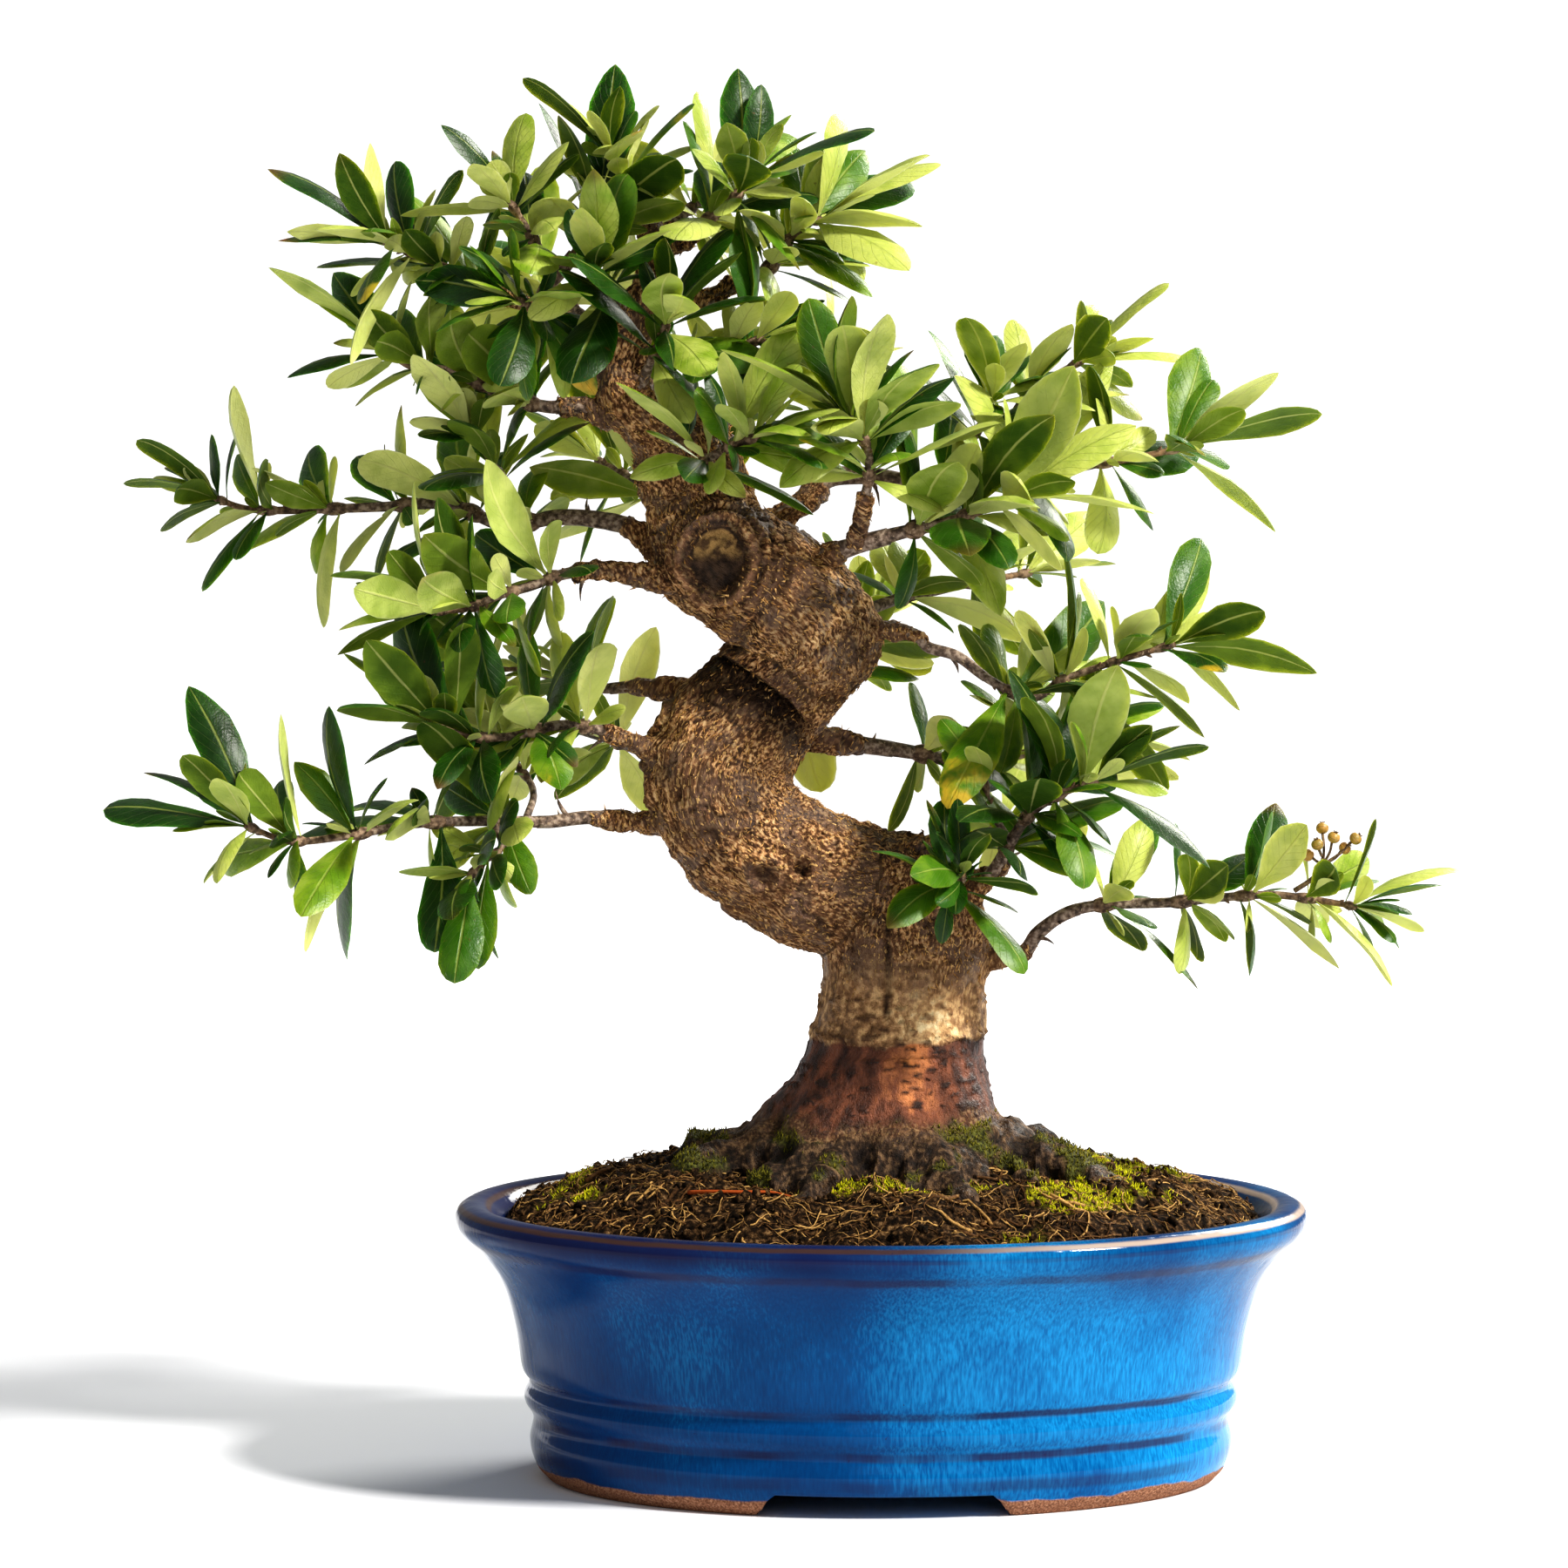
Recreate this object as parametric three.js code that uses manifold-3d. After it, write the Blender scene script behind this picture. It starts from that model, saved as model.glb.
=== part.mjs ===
// A pyracantha (firethorn) bonsai in a blue glazed oval pot. Millimetres, +Z up, +X to the viewer's right.
// The tree is worked out round the pot's centre. The last lines move the whole to stand over its own middle.
import * as THREE from "three";
import { mergeVertices } from "three/addons/utils/BufferGeometryUtils.js";
import Module from "manifold-3d";

const wasm = await Module();
wasm.setup();

// Driving dimensions
const GAP = 0.35; // between pieces that touch
const POT_HALF_LENGTH = 147.5;
const POT_DEPTH_SHARE = 0.8; // the oval's depth against its length
const POT_SIDES = 28;
const FOOT_GAP_WIDTH = 74; // at its top
const FOOT_GAP_HEIGHT = 8;
const FLOOR_TOP = 17;
const DRAIN_HOLE_RADIUS = 10;
const DRAIN_HOLE_X = 58;
const SCREEN_SIDE = 32;
const SCREEN_THICKNESS = 1.2;
const SCREEN_SLOTS = 4;
const SOIL_SIDES = 24;
const LEAF_CLEARANCE = 0.9; // kept free between one blade and the next
const LEAF_TRIES = 7;
const ROOT_DEPTH = 0.4; // how far past the middle of the twig a leaf begins
const LEAF_STEP = 1.4; // along the twig from one leaf of a rosette to the next
const TREE_SEED = 5;
const GOLDEN_ANGLE = Math.PI * (3 - Math.sqrt(5));

const UP = new THREE.Vector3(0, 0, 1);
const FRONT = new THREE.Vector3(0, -1, 0);
const vec = (x, y, z) => new THREE.Vector3(x, y, z);

// A closed mesh as a solid that can be joined and cut.
function solidOf(geometry) {
  const bare = geometry.clone();
  bare.deleteAttribute("normal");
  bare.deleteAttribute("uv");
  const merged = mergeVertices(bare, 1e-4);
  return new wasm.Manifold(
    new wasm.Mesh({
      numProp: 3,
      vertProperties: merged.attributes.position.array,
      triVerts: new Uint32Array(merged.index.array),
    }),
  );
}

function geometryOf(solid) {
  const mesh = solid.getMesh();
  const geometry = new THREE.BufferGeometry();
  geometry.setAttribute("position", new THREE.BufferAttribute(mesh.vertProperties, 3));
  geometry.setIndex(new THREE.BufferAttribute(mesh.triVerts, 1));
  return geometry;
}

const join = (solids) => wasm.Manifold.union(solids);

// A closed skin over rings of points, all with the same number of points. A ring of one point is an end that
// closes to a tip, and any other end is closed by a flat fan.
function skin(rings) {
  const points = [];
  const faces = [];
  const starts = rings.map((ring) => points.push(...ring) - ring.length);
  for (let i = 0; i + 1 < rings.length; i++) {
    const [a, b] = [starts[i], starts[i + 1]];
    const [na, nb] = [rings[i].length, rings[i + 1].length];
    for (let j = 0; j < Math.max(na, nb); j++) {
      const k = (j + 1) % Math.max(na, nb);
      if (na === 1) faces.push([a, b + k, b + j]);
      else if (nb === 1) faces.push([a + j, a + k, b]);
      else if (j % 2 === 0) faces.push([a + j, a + k, b + k], [a + j, b + k, b + j]);
      else faces.push([a + j, a + k, b + j], [a + k, b + k, b + j]);
    }
  }
  const first = rings[0].length;
  const last = rings.at(-1).length;
  for (let j = 1; j + 1 < first; j++) faces.push([starts[0], starts[0] + j + 1, starts[0] + j]);
  for (let j = 1; j + 1 < last; j++) faces.push([starts.at(-1), starts.at(-1) + j, starts.at(-1) + j + 1]);
  const geometry = new THREE.BufferGeometry().setFromPoints(points);
  geometry.setIndex(faces.flat());
  return geometry;
}

// The same numbers for the same seed, each from 0 to 1.
function seeded(seed) {
  let state = seed >>> 0;
  return () => {
    state = (state + 0x6d2b79f5) >>> 0;
    let mixed = Math.imul(state ^ (state >>> 15), state | 1);
    mixed ^= mixed + Math.imul(mixed ^ (mixed >>> 7), mixed | 61);
    return ((mixed ^ (mixed >>> 14)) >>> 0) / 4294967296;
  };
}

const smoothLine = (points) =>
  new THREE.CatmullRomCurve3(points.map((p) => vec(...p)), false, "catmullrom", 0.5);

// Two directions square to a line's own direction: one as near to upright as it can be, and one sideways.
function across(direction) {
  const reference = Math.abs(direction.z) > 0.95 ? FRONT : UP;
  const upward = reference.clone().addScaledVector(direction, -reference.dot(direction)).normalize();
  return [upward, direction.clone().cross(upward)];
}

// A ring of points round a centre, square to a direction. reach(angle) gives the radius.
function ring(centre, upward, sideways, sides, reach) {
  return Array.from({ length: sides }, (_, j) => {
    const angle = (2 * Math.PI * j) / sides;
    const radius = reach(angle);
    return centre
      .clone()
      .addScaledVector(upward, radius * Math.cos(angle))
      .addScaledVector(sideways, radius * Math.sin(angle));
  });
}

// A round twig or limb along a smooth line, from share `from` to share `to` of it, thinning evenly.
function twig(points, [thick, thin], from, to, sides, spans) {
  const line = smoothLine(points);
  const rings = [];
  for (let i = 0; i <= spans; i++) {
    const share = from + ((to - from) * i) / spans;
    const [upward, sideways] = across(line.getTangent(share));
    rings.push(ring(line.getPoint(share), upward, sideways, sides, () => thick + (thin - thick) * share));
  }
  return solidOf(skin(rings));
}

// Pot

// Half a cut through the pot along its length: distance from the middle, and height.
const POT_PROFILE = [
  [0, 8.5], [98, 8.5], [101, 0], [115.5, 0], [119, 4], [121.5, 14], [120.4, 21], [122.8, 26], [123, 30],
  [121.6, 34], [125, 38.5], [126.4, 52], [131, 67.5], [138.4, 78.5], [145.6, 85.5], [147.5, 90.5],
  [145, 94.5], [139, 95.5], [133, 92], [119, 64], [112, 22], [107, FLOOR_TOP], [0, FLOOR_TOP],
];

// A half cut turned about the upright axis, then drawn in to the oval.
function ovalTurning(profile, sides) {
  const geometry = new THREE.LatheGeometry(profile.map(([r, z]) => new THREE.Vector2(r, z)), sides);
  return geometry.rotateX(Math.PI / 2).scale(1, POT_DEPTH_SHARE, 1);
}

function drainHole(x) {
  const hole = new THREE.CylinderGeometry(DRAIN_HOLE_RADIUS, DRAIN_HOLE_RADIUS, 40, 14);
  return solidOf(hole.rotateX(Math.PI / 2).translate(x, 0, FLOOR_TOP));
}

// The gap runs between the two feet from front to back, and its ends slope outwards to the ground.
function footGap() {
  const [top, bottom] = [FOOT_GAP_WIDTH / 2, FOOT_GAP_WIDTH / 2 + 1.6 * FOOT_GAP_HEIGHT];
  const corners = [[-bottom, -1], [bottom, -1], [top, 1], [-top, 1]];
  const outline = corners.map(([x, side]) => new THREE.Vector2(x, side * FOOT_GAP_HEIGHT));
  const extent = { depth: 2 * POT_HALF_LENGTH, bevelEnabled: false };
  const geometry = new THREE.ExtrudeGeometry(new THREE.Shape(outline), extent);
  return solidOf(geometry.rotateX(Math.PI / 2).translate(0, POT_HALF_LENGTH, 0));
}

function pot() {
  let solid = solidOf(ovalTurning(POT_PROFILE, POT_SIDES));
  for (const cutter of [footGap(), drainHole(-DRAIN_HOLE_X), drainHole(DRAIN_HOLE_X)]) {
    solid = solid.subtract(cutter);
  }
  return solid;
}

function drainScreen(x) {
  const block = (...size) => solidOf(new THREE.BoxGeometry(...size));
  const pitch = SCREEN_SIDE / SCREEN_SLOTS;
  let plate = block(SCREEN_SIDE, SCREEN_SIDE, SCREEN_THICKNESS);
  for (let i = 0; i < SCREEN_SLOTS; i++) {
    const slot = block(pitch / 2, SCREEN_SIDE - pitch, 2 * SCREEN_THICKNESS);
    plate = plate.subtract(slot.translate([(i + 0.5) * pitch - SCREEN_SIDE / 2, 0, 0]));
  }
  return plate.translate([x, 0, FLOOR_TOP + GAP + SCREEN_THICKNESS / 2]);
}

// Trunk: each stretch is a list of x, y, z and radius. Where the trunk doubles back the stretches overlap.
const ROOT_CROWN = [
  [3, 0, 80, 36], [3, 0, 94, 48], [3, 0, 105, 52], [3, 0, 112, 49], [3, 0, 118, 45], [3, 0, 125, 40.5],
  [4, 0, 134, 35.5], [5, 0, 145, 31.5], [6, 0, 158, 28.6], [7, 0, 174, 27.8], [8, 1, 189, 28.5],
  [10, 2, 201, 26.5], [13, 3, 212, 20], [15, 3, 219, 11],
];
const LOWER_BEND = [
  [20, 2, 190, 14], [10, 2, 196, 22], [-6, 1, 201, 24], [-22, 0, 207, 23.5], [-36, -1, 214, 23],
  [-47, -2, 223, 23.5], [-54, -2, 234, 25], [-55.5, -1, 246, 25], [-50, 1, 258, 23.5],
  [-41, 4, 269, 21.5], [-31, 6, 278, 20.5], [-22, 5, 286, 19.5], [-16, 2, 294, 14],
];
const UPPER_BEND = [
  [-28, 6, 280, 14], [-21, 0, 287, 19.5], [-24, -5, 297, 20.5], [-35, -8, 306, 20.5],
  [-47, -8, 313, 21], [-56, -6, 320, 21.8], [-60, -3, 329, 19.5], [-63, 0, 338, 18],
  [-66, 1, 347, 17.5], [-69, 1, 356, 15.5], [-77, 0, 364, 12.5], [-86, 0, 372, 10.5],
  [-90, 0, 381, 8.8], [-88, 0, 392, 7.2], [-83, 2, 404, 6], [-79, 4, 417, 5], [-80, 2, 431, 4],
  [-82, 0, 444, 2.6],
];
const CROWN_SIDES = 20;
const BEND_SIDES = 12;
const ROOTS = [[0.3, 0.3], [1.5, 0.3], [2.5, 0.34], [3.5, 0.4], [4.72, 0.56], [5.6, 0.4]]; // angle and reach
const ROOT_HALF_WIDTH = 0.34;
const ROOT_TOP = 138; // the roots have died away above this height

// One stretch of the trunk, with angle 0 to the front. The hole it stands in is wider and deeper by `extra`.
function stretch(stations, sides, lumps, extra = 0) {
  const line = smoothLine(stations.map(([x, y, z]) => [x, y, z]));
  const rings = stations.map(([x, y, z, radius], i) => {
    const along = line.getTangent(i / (stations.length - 1));
    const front = FRONT.clone().addScaledVector(along, -FRONT.dot(along)).normalize();
    const right = along.clone().cross(front);
    const centre = vec(x, y, i === 0 ? z - extra : z);
    return ring(centre, front, right, sides, (angle) => radius * lumps(angle, i, z) + extra);
  });
  return solidOf(skin(rings));
}

// The surface roots stand out as ridges near the soil and run out upwards.
function rootRidges(angle, i, z) {
  const rise = THREE.MathUtils.clamp((ROOT_TOP - z) / (ROOT_TOP - 108), 0, 1) ** 2;
  const ridges = ROOTS.map(([root, reach]) => {
    const away = Math.atan2(Math.sin(angle - root), Math.cos(angle - root));
    return reach * Math.exp(-((away / ROOT_HALF_WIDTH) ** 2));
  });
  return 1 + rise * (Math.max(...ridges) - 0.1) + 0.02 * Math.sin(3 * angle + i);
}

function barkLumps(angle, i) {
  return 1 + 0.035 * Math.sin(2 * angle + 1.3 * i) + 0.025 * Math.sin(5 * angle - 0.8 * i);
}

// The pruning scar faces the front of the upper bend: a healed lip round a sunken disc of old wood.
const SCAR = { x: -56, y: -27.2, z: 319, radius: 10.5, lip: 2.8, depth: 3 };

function scarCut() {
  const disc = new THREE.CylinderGeometry(SCAR.radius - 1.5, SCAR.radius - 1.5, 2 * SCAR.depth, 12);
  return solidOf(disc.scale(1, 1, 1.15).translate(SCAR.x, SCAR.y, SCAR.z));
}

function scarLip() {
  const lip = new THREE.TorusGeometry(SCAR.radius, SCAR.lip, 5, 12);
  return solidOf(lip.rotateX(Math.PI / 2).scale(1, 1, 1.15).translate(SCAR.x, SCAR.y + 1.2, SCAR.z));
}

// Boughs. A path starts inside the trunk, and its first share, `bare`, is leafless wood that belongs to the
// trunk. `girth` is the radius at either end and `size` the length of a usual leaf. `rosettes` counts the leaf
// rosettes before the one at the tip. A thorn stands at share `thorn`, and a fork leaves the bough at share `at`.
const BOUGHS = [
  {
    name: "left_low", girth: [2.6, 1.3], bare: 0.3, rosettes: 4, size: 40, thorn: 0.22,
    path: [
      [-66, 0, 225], [-97, -6, 229], [-115, -12, 228], [-135, -20, 229], [-159, -30, 229],
      [-182, -42, 226], [-201, -50, 225], [-216, -56, 231],
    ],
    forks: [
      { at: 0.34, path: [[-120, 0, 238], [-128, 6, 249], [-134, 9, 257]], rosettes: 1, size: 34 },
      { at: 0.42, path: [[-130, -26, 221], [-137, -33, 216], [-141, -38, 211]], rosettes: 1, size: 36 },
    ],
  },
  {
    name: "left_mid", girth: [2.6, 1.3], bare: 0.26, rosettes: 3, size: 40, thorn: 0.2,
    path: [
      [-66, -4, 247], [-89, -12, 257], [-100, -18, 261], [-112, -24, 262], [-126, -30, 259],
      [-140, -34, 259], [-151, -36, 263],
    ],
  },
  {
    name: "left_back", girth: [2.4, 1.2], bare: 0.34, rosettes: 2, size: 36,
    path: [[-52, 12, 270], [-83, 20, 272], [-97, 26, 271], [-112, 32, 274], [-126, 38, 277], [-141, 44, 275]],
  },
  {
    name: "left_long", girth: [3.6, 1.2], bare: 0.32, rosettes: 5, size: 35, thorn: 0.26,
    path: [
      [-66, 4, 312], [-83, 8, 326], [-95, 12, 330], [-112, 16, 331], [-130, 20, 328], [-150, 24, 335],
      [-173, 26, 334], [-197, 28, 333], [-218, 28, 333], [-231, 28, 337],
    ],
    forks: [
      { at: 0.44, path: [[-128, 10, 340], [-135, 5, 352], [-141, 0, 361]], rosettes: 1, size: 38 },
    ],
  },
  {
    name: "left_drop", girth: [2.5, 1.3], bare: 0.3, rosettes: 3, size: 43, thorn: 0.24,
    path: [
      [-68, -12, 309], [-94, -18, 315], [-108, -24, 314], [-120, -28, 310], [-131, -32, 307],
      [-141, -36, 303], [-154, -38, 302],
    ],
  },
  {
    name: "left_upper", girth: [2.8, 1.2], bare: 0.24, rosettes: 3, size: 37,
    path: [
      [-78, 0, 358], [-101, -2, 369], [-115, -4, 370], [-127, -6, 373], [-138, -8, 378],
      [-150, -10, 383], [-161, -10, 384], [-170, -10, 390],
    ],
  },
  {
    name: "crook", girth: [4, 1.9], bare: 0.74, rosettes: 1, size: 38,
    path: [
      [-88, 0, 384], [-98, -3, 393], [-110, -6, 398], [-116, -8, 404], [-114, -8, 412], [-107, -8, 420],
      [-100, -8, 430], [-97, -8, 439],
    ],
  },
  {
    name: "left_top", girth: [2.3, 1.2], bare: 0.28, rosettes: 3, size: 37,
    path: [
      [-114, -7, 404], [-127, -9, 407], [-136, -11, 411], [-145, -13, 415], [-154, -15, 420],
      [-163, -17, 424], [-170, -17, 427],
    ],
  },
  {
    name: "crown_left", girth: [2.2, 1.3], bare: 0.24, rosettes: 1, size: 38,
    path: [[-112, -8, 414], [-117, -16, 424], [-122, -22, 433], [-127, -26, 441]],
  },
  {
    name: "apex", girth: [2.6, 1.3], bare: 0.22, rosettes: 1, size: 33,
    path: [[-81, 0, 432], [-87, -5, 443], [-90, -9, 451], [-94, -11, 458]],
  },
  {
    name: "top_mid", girth: [2.8, 1.3], bare: 0.32, rosettes: 2, size: 37,
    path: [[-80, 4, 420], [-67, 0, 428], [-57, -5, 436], [-49, -8, 443], [-44, -8, 449]],
  },
  {
    name: "right_top", girth: [3.2, 1.3], bare: 0.44, rosettes: 3, size: 39,
    path: [
      [-81, 5, 404], [-64, 9, 406], [-51, 10, 411], [-39, 8, 417], [-33, 4, 426], [-27, 0, 432],
      [-20, 0, 434],
    ],
  },
  {
    name: "front_twig", girth: [2, 1.3], bare: 0.3, rosettes: 1, size: 43,
    path: [[-84, -6, 371], [-80, -20, 384], [-76, -30, 393], [-73, -36, 400]],
  },
  {
    name: "crook_front", girth: [1.9, 1.3], bare: 0.3, rosettes: 1, size: 38,
    path: [[-114, -8, 401], [-116, -22, 404], [-119, -34, 405], [-124, -43, 408]],
  },
  {
    name: "leader_front", girth: [1.9, 1.3], bare: 0.3, rosettes: 1, size: 38,
    path: [[-86, 0, 397], [-91, -16, 406], [-95, -28, 413], [-98, -38, 417]],
  },
  {
    name: "leader_right", girth: [2.2, 1.3], bare: 0.26, rosettes: 2, size: 37,
    path: [[-86, 0, 386], [-70, -10, 388], [-55, -18, 390], [-40, -22, 394]],
  },
  {
    name: "front_upper", girth: [2.2, 1.3], bare: 0.3, rosettes: 2, size: 40,
    path: [[-64, -8, 344], [-62, -24, 351], [-54, -37, 357], [-42, -46, 362]],
  },
  {
    name: "right_upper", girth: [3.8, 1.2], bare: 0.38, rosettes: 3, size: 39, thorn: 0.3,
    path: [
      [-46, 10, 325], [-27, 20, 336], [-18, 24, 344], [-4, 24, 345], [11, 20, 343], [26, 14, 343],
      [41, 8, 344], [56, 4, 346], [73, 0, 350], [89, -4, 353], [103, -4, 356],
    ],
    forks: [
      { at: 0.46, path: [[30, 9, 356], [35, 5, 366], [38, 0, 373]], rosettes: 1, size: 36 },
      { at: 0.54, path: [[41, 14, 359], [49, 17, 372], [58, 18, 379], [71, 18, 386]], rosettes: 1, size: 37 },
    ],
  },
  {
    name: "right_thick", girth: [4, 1.6], bare: 0.44, rosettes: 2, size: 43,
    path: [
      [-44, -8, 307], [-23, -12, 318], [-10, -18, 323], [7, -22, 328], [20, -24, 331], [32, -26, 335],
      [44, -28, 340],
    ],
  },
  {
    name: "front_right", girth: [2.2, 1.5], bare: 0.3, rosettes: 2, size: 45,
    path: [
      [-9, -18, 324], [-7, -30, 336], [-5, -38, 347], [-5, -44, 356], [-8, -46, 363], [-13, -48, 369],
    ],
  },
  {
    name: "right_thin", girth: [2.2, 1.2], bare: 0.42, rosettes: 3, size: 41, thorn: 0.3,
    path: [
      [-14, -6, 293], [9, -10, 293], [16, -12, 288], [26, -14, 285], [37, -16, 277], [51, -18, 271],
      [61, -20, 277], [74, -22, 282], [86, -24, 286], [100, -24, 290],
    ],
  },
  {
    name: "right_mid", girth: [3.6, 1.4], bare: 0.34, rosettes: 3, size: 38,
    path: [
      [-38, 12, 256], [-15, 20, 253], [-3, 24, 251], [14, 28, 248], [31, 30, 244], [46, 30, 247],
      [61, 28, 251], [71, 26, 256],
    ],
    forks: [{ at: 0.68, path: [[46, 32, 256], [45, 33, 264]], rosettes: 0, size: 34 }],
  },
  {
    name: "right_low", girth: [2.8, 1.2], bare: 0.36, rosettes: 4, size: 37, thorn: 0.2,
    path: [
      [26, 0, 180], [47, -2, 181], [54, -4, 189], [64, -6, 196], [77, -8, 199], [100, -10, 200],
      [118, -12, 202], [135, -14, 203], [152, -16, 201], [163, -16, 199],
    ],
  },
  {
    name: "right_front", girth: [2.8, 1.4], bare: 0.28, rosettes: 3, size: 39, thorn: 0.25,
    path: [[26, -12, 198], [38, -24, 212], [43, -32, 222], [50, -38, 233], [60, -42, 240], [73, -44, 245]],
    forks: [{ at: 0.42, path: [[37, -34, 234], [34, -34, 246]], rosettes: 0, size: 32 }],
  },
  {
    name: "front_low", girth: [1.8, 1.4], bare: 0.3, rosettes: 1, size: 31,
    path: [[15, -18, 198], [20, -34, 205], [25, -48, 210], [27, -57, 214]],
  },
  {
    name: "back_low", girth: [2.8, 1.3], bare: 0.3, rosettes: 1, size: 37,
    path: [[16, 14, 205], [30, 45, 214], [48, 70, 222], [66, 90, 230]],
  },
  {
    name: "back_left_low", girth: [2.6, 1.3], bare: 0.3, rosettes: 2, size: 37,
    path: [[-56, 10, 240], [-84, 44, 248], [-106, 68, 253], [-130, 86, 255]],
  },
  {
    name: "back_mid", girth: [2.8, 1.3], bare: 0.28, rosettes: 2, size: 38,
    path: [[-46, 14, 260], [-30, 46, 272], [-14, 74, 280], [-4, 98, 287]],
  },
  {
    name: "back_right", girth: [2.8, 1.3], bare: 0.28, rosettes: 2, size: 38,
    path: [[-26, 12, 289], [0, 42, 299], [27, 64, 304], [54, 80, 308]],
  },
  {
    name: "back_burl", girth: [2.6, 1.3], bare: 0.28, rosettes: 2, size: 38,
    path: [[-58, 10, 322], [-74, 44, 334], [-88, 70, 342], [-100, 92, 347]],
  },
  {
    name: "back_upper", girth: [2.6, 1.3], bare: 0.28, rosettes: 2, size: 37,
    path: [[-68, 6, 352], [-50, 38, 366], [-32, 62, 374], [-16, 82, 379]],
  },
  {
    name: "back_top", girth: [2.2, 1.2], bare: 0.26, rosettes: 1, size: 37,
    path: [[-88, 3, 387], [-100, 32, 398], [-112, 54, 405], [-121, 74, 409]],
  },
  {
    name: "back_crown", girth: [2.2, 1.3], bare: 0.26, rosettes: 1, size: 37,
    path: [[-80, 3, 424], [-66, 26, 437], [-55, 44, 444]],
  },
];

const STOUT_LIMB = 3; // a limb of this radius or more has more sides
const STEM_SIDES = 3;

const lineLength = (points) => smoothLine(points).getLength();

function limb(bough) {
  const spans = Math.max(2, Math.round((bough.path.length - 1) * bough.bare * 0.9));
  return twig(bough.path, bough.girth, 0, bough.bare, bough.girth[0] < STOUT_LIMB ? 4 : 6, spans);
}

// A sharp thorn square to the limb, on the side that the bough's number gives.
function thorn(bough, index) {
  const line = smoothLine(bough.path);
  const [upward, sideways] = across(line.getTangent(bough.thorn));
  const side = index * GOLDEN_ANGLE;
  const out = upward.clone().multiplyScalar(Math.cos(side)).addScaledVector(sideways, Math.sin(side));
  out.addScaledVector(line.getTangent(bough.thorn), 0.35).normalize();
  const foot = line.getPoint(bough.thorn);
  const [a, b] = across(out);
  return solidOf(skin([ring(foot, a, b, 4, () => 1), [foot.clone().addScaledVector(out, 12)]]));
}

// Leaves

// A blade: a root point sunk in the twig, a few stations and a tip. Each station has its left edge, the top
// of the rib and its right edge. The blade is arched across and bends down towards its tip.
const BLADE_STATIONS = [[0.4, 0.84], [0.77, 0.96]]; // share of the length, and of the width there

function blade(leaf, fat = 0, from = 0) {
  const { root, direction, face, length, width, droop, arch } = leaf;
  const side = direction.clone().cross(face);
  const at = (share) => {
    const sag = droop * length * share * share;
    return root.clone().addScaledVector(direction, length * share).addScaledVector(face, -sag);
  };
  const rings = [[at(from)]];
  for (const [share, widthShare] of BLADE_STATIONS) {
    if (share <= from) continue;
    const centre = at(share);
    const normal = face.clone().addScaledVector(direction, 2 * droop * share).normalize();
    const half = (width / 2) * widthShare + fat;
    const edge = (sign) => centre.clone().addScaledVector(side, sign * half).addScaledVector(normal, -fat);
    rings.push([edge(-1), centre.clone().addScaledVector(normal, arch * half + fat), edge(1)]);
  }
  rings.push([at(1 + fat / length)]);
  return solidOf(skin(rings));
}

// The rosettes of a stem, spaced evenly and each turned further round it, and a fuller one at its tip.
function rosettesOf(stem) {
  const line = smoothLine(stem.path);
  const rosettes = [];
  for (let i = 0; i < stem.rosettes; i++) {
    const share = stem.from + ((0.94 - stem.from) * (i + 0.4)) / stem.rosettes;
    rosettes.push({ line, share, turn: stem.turn + i * 1.9, leaves: 4, tilt: 44, spread: 13 });
  }
  const tip = 1 - LEAF_STEP / line.getLength();
  rosettes.push({ line, share: tip, turn: stem.turn, leaves: 5, tilt: 14, spread: 15 });
  return rosettes;
}

// Leaf number k of a rosette, a step further down the twig than the one before. Each try turns it further.
function leafAt(rosette, k, attempt, size, draw) {
  const share = rosette.share - (k * LEAF_STEP) / rosette.line.getLength();
  const along = rosette.line.getTangent(share);
  const [upward, sideways] = across(along);
  const round = rosette.turn + (k + 0.37 * attempt) * GOLDEN_ANGLE + (draw() - 0.5) * 0.8;
  const tilt = THREE.MathUtils.degToRad(rosette.tilt + rosette.spread * k + 22 * (draw() - 0.5));
  const direction = along
    .clone()
    .multiplyScalar(Math.cos(tilt))
    .addScaledVector(upward, Math.sin(tilt) * Math.cos(round))
    .addScaledVector(sideways, Math.sin(tilt) * Math.sin(round))
    .addScaledVector(UP, 0.22)
    .normalize();
  const length = size * (0.68 + 0.68 * draw());
  const width = length * (0.3 + 0.13 * draw());
  const lean = along.clone().multiplyScalar(0.6).addScaledVector(UP, 0.8);
  const face = lean.addScaledVector(direction, -lean.dot(direction)).normalize();
  face.applyAxisAngle(direction, (draw() - 0.5) * 1.6);
  const droop = 0.04 + 0.2 * draw();
  const arch = 0.2 + 0.16 * draw();
  const root = rosette.line.getPoint(share).addScaledVector(direction, -ROOT_DEPTH);
  return { root, direction, face, length, width, droop, arch };
}

// The stems of a spray: the leafy end of the bough, and its forks.
function stemsOf(bough, index) {
  const main = { ...bough, from: bough.bare + 0.04, turn: index };
  const line = smoothLine(bough.path);
  const forks = (bough.forks ?? []).map((fork, i) => ({
    ...fork,
    path: [line.getPoint(fork.at).toArray(), ...fork.path],
    girth: [1.4, 1.2],
    from: 0.3,
    turn: index + i + 1,
  }));
  return [main, ...forks];
}

function stemWood(stem, isMain) {
  const start = isMain ? stem.bare + GAP / lineLength(stem.path) : 0;
  const spans = Math.max(2, Math.round((stem.path.length - 1) * (1 - start)));
  return twig(stem.path, stem.girth, start, 1, STEM_SIDES, spans);
}

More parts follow.
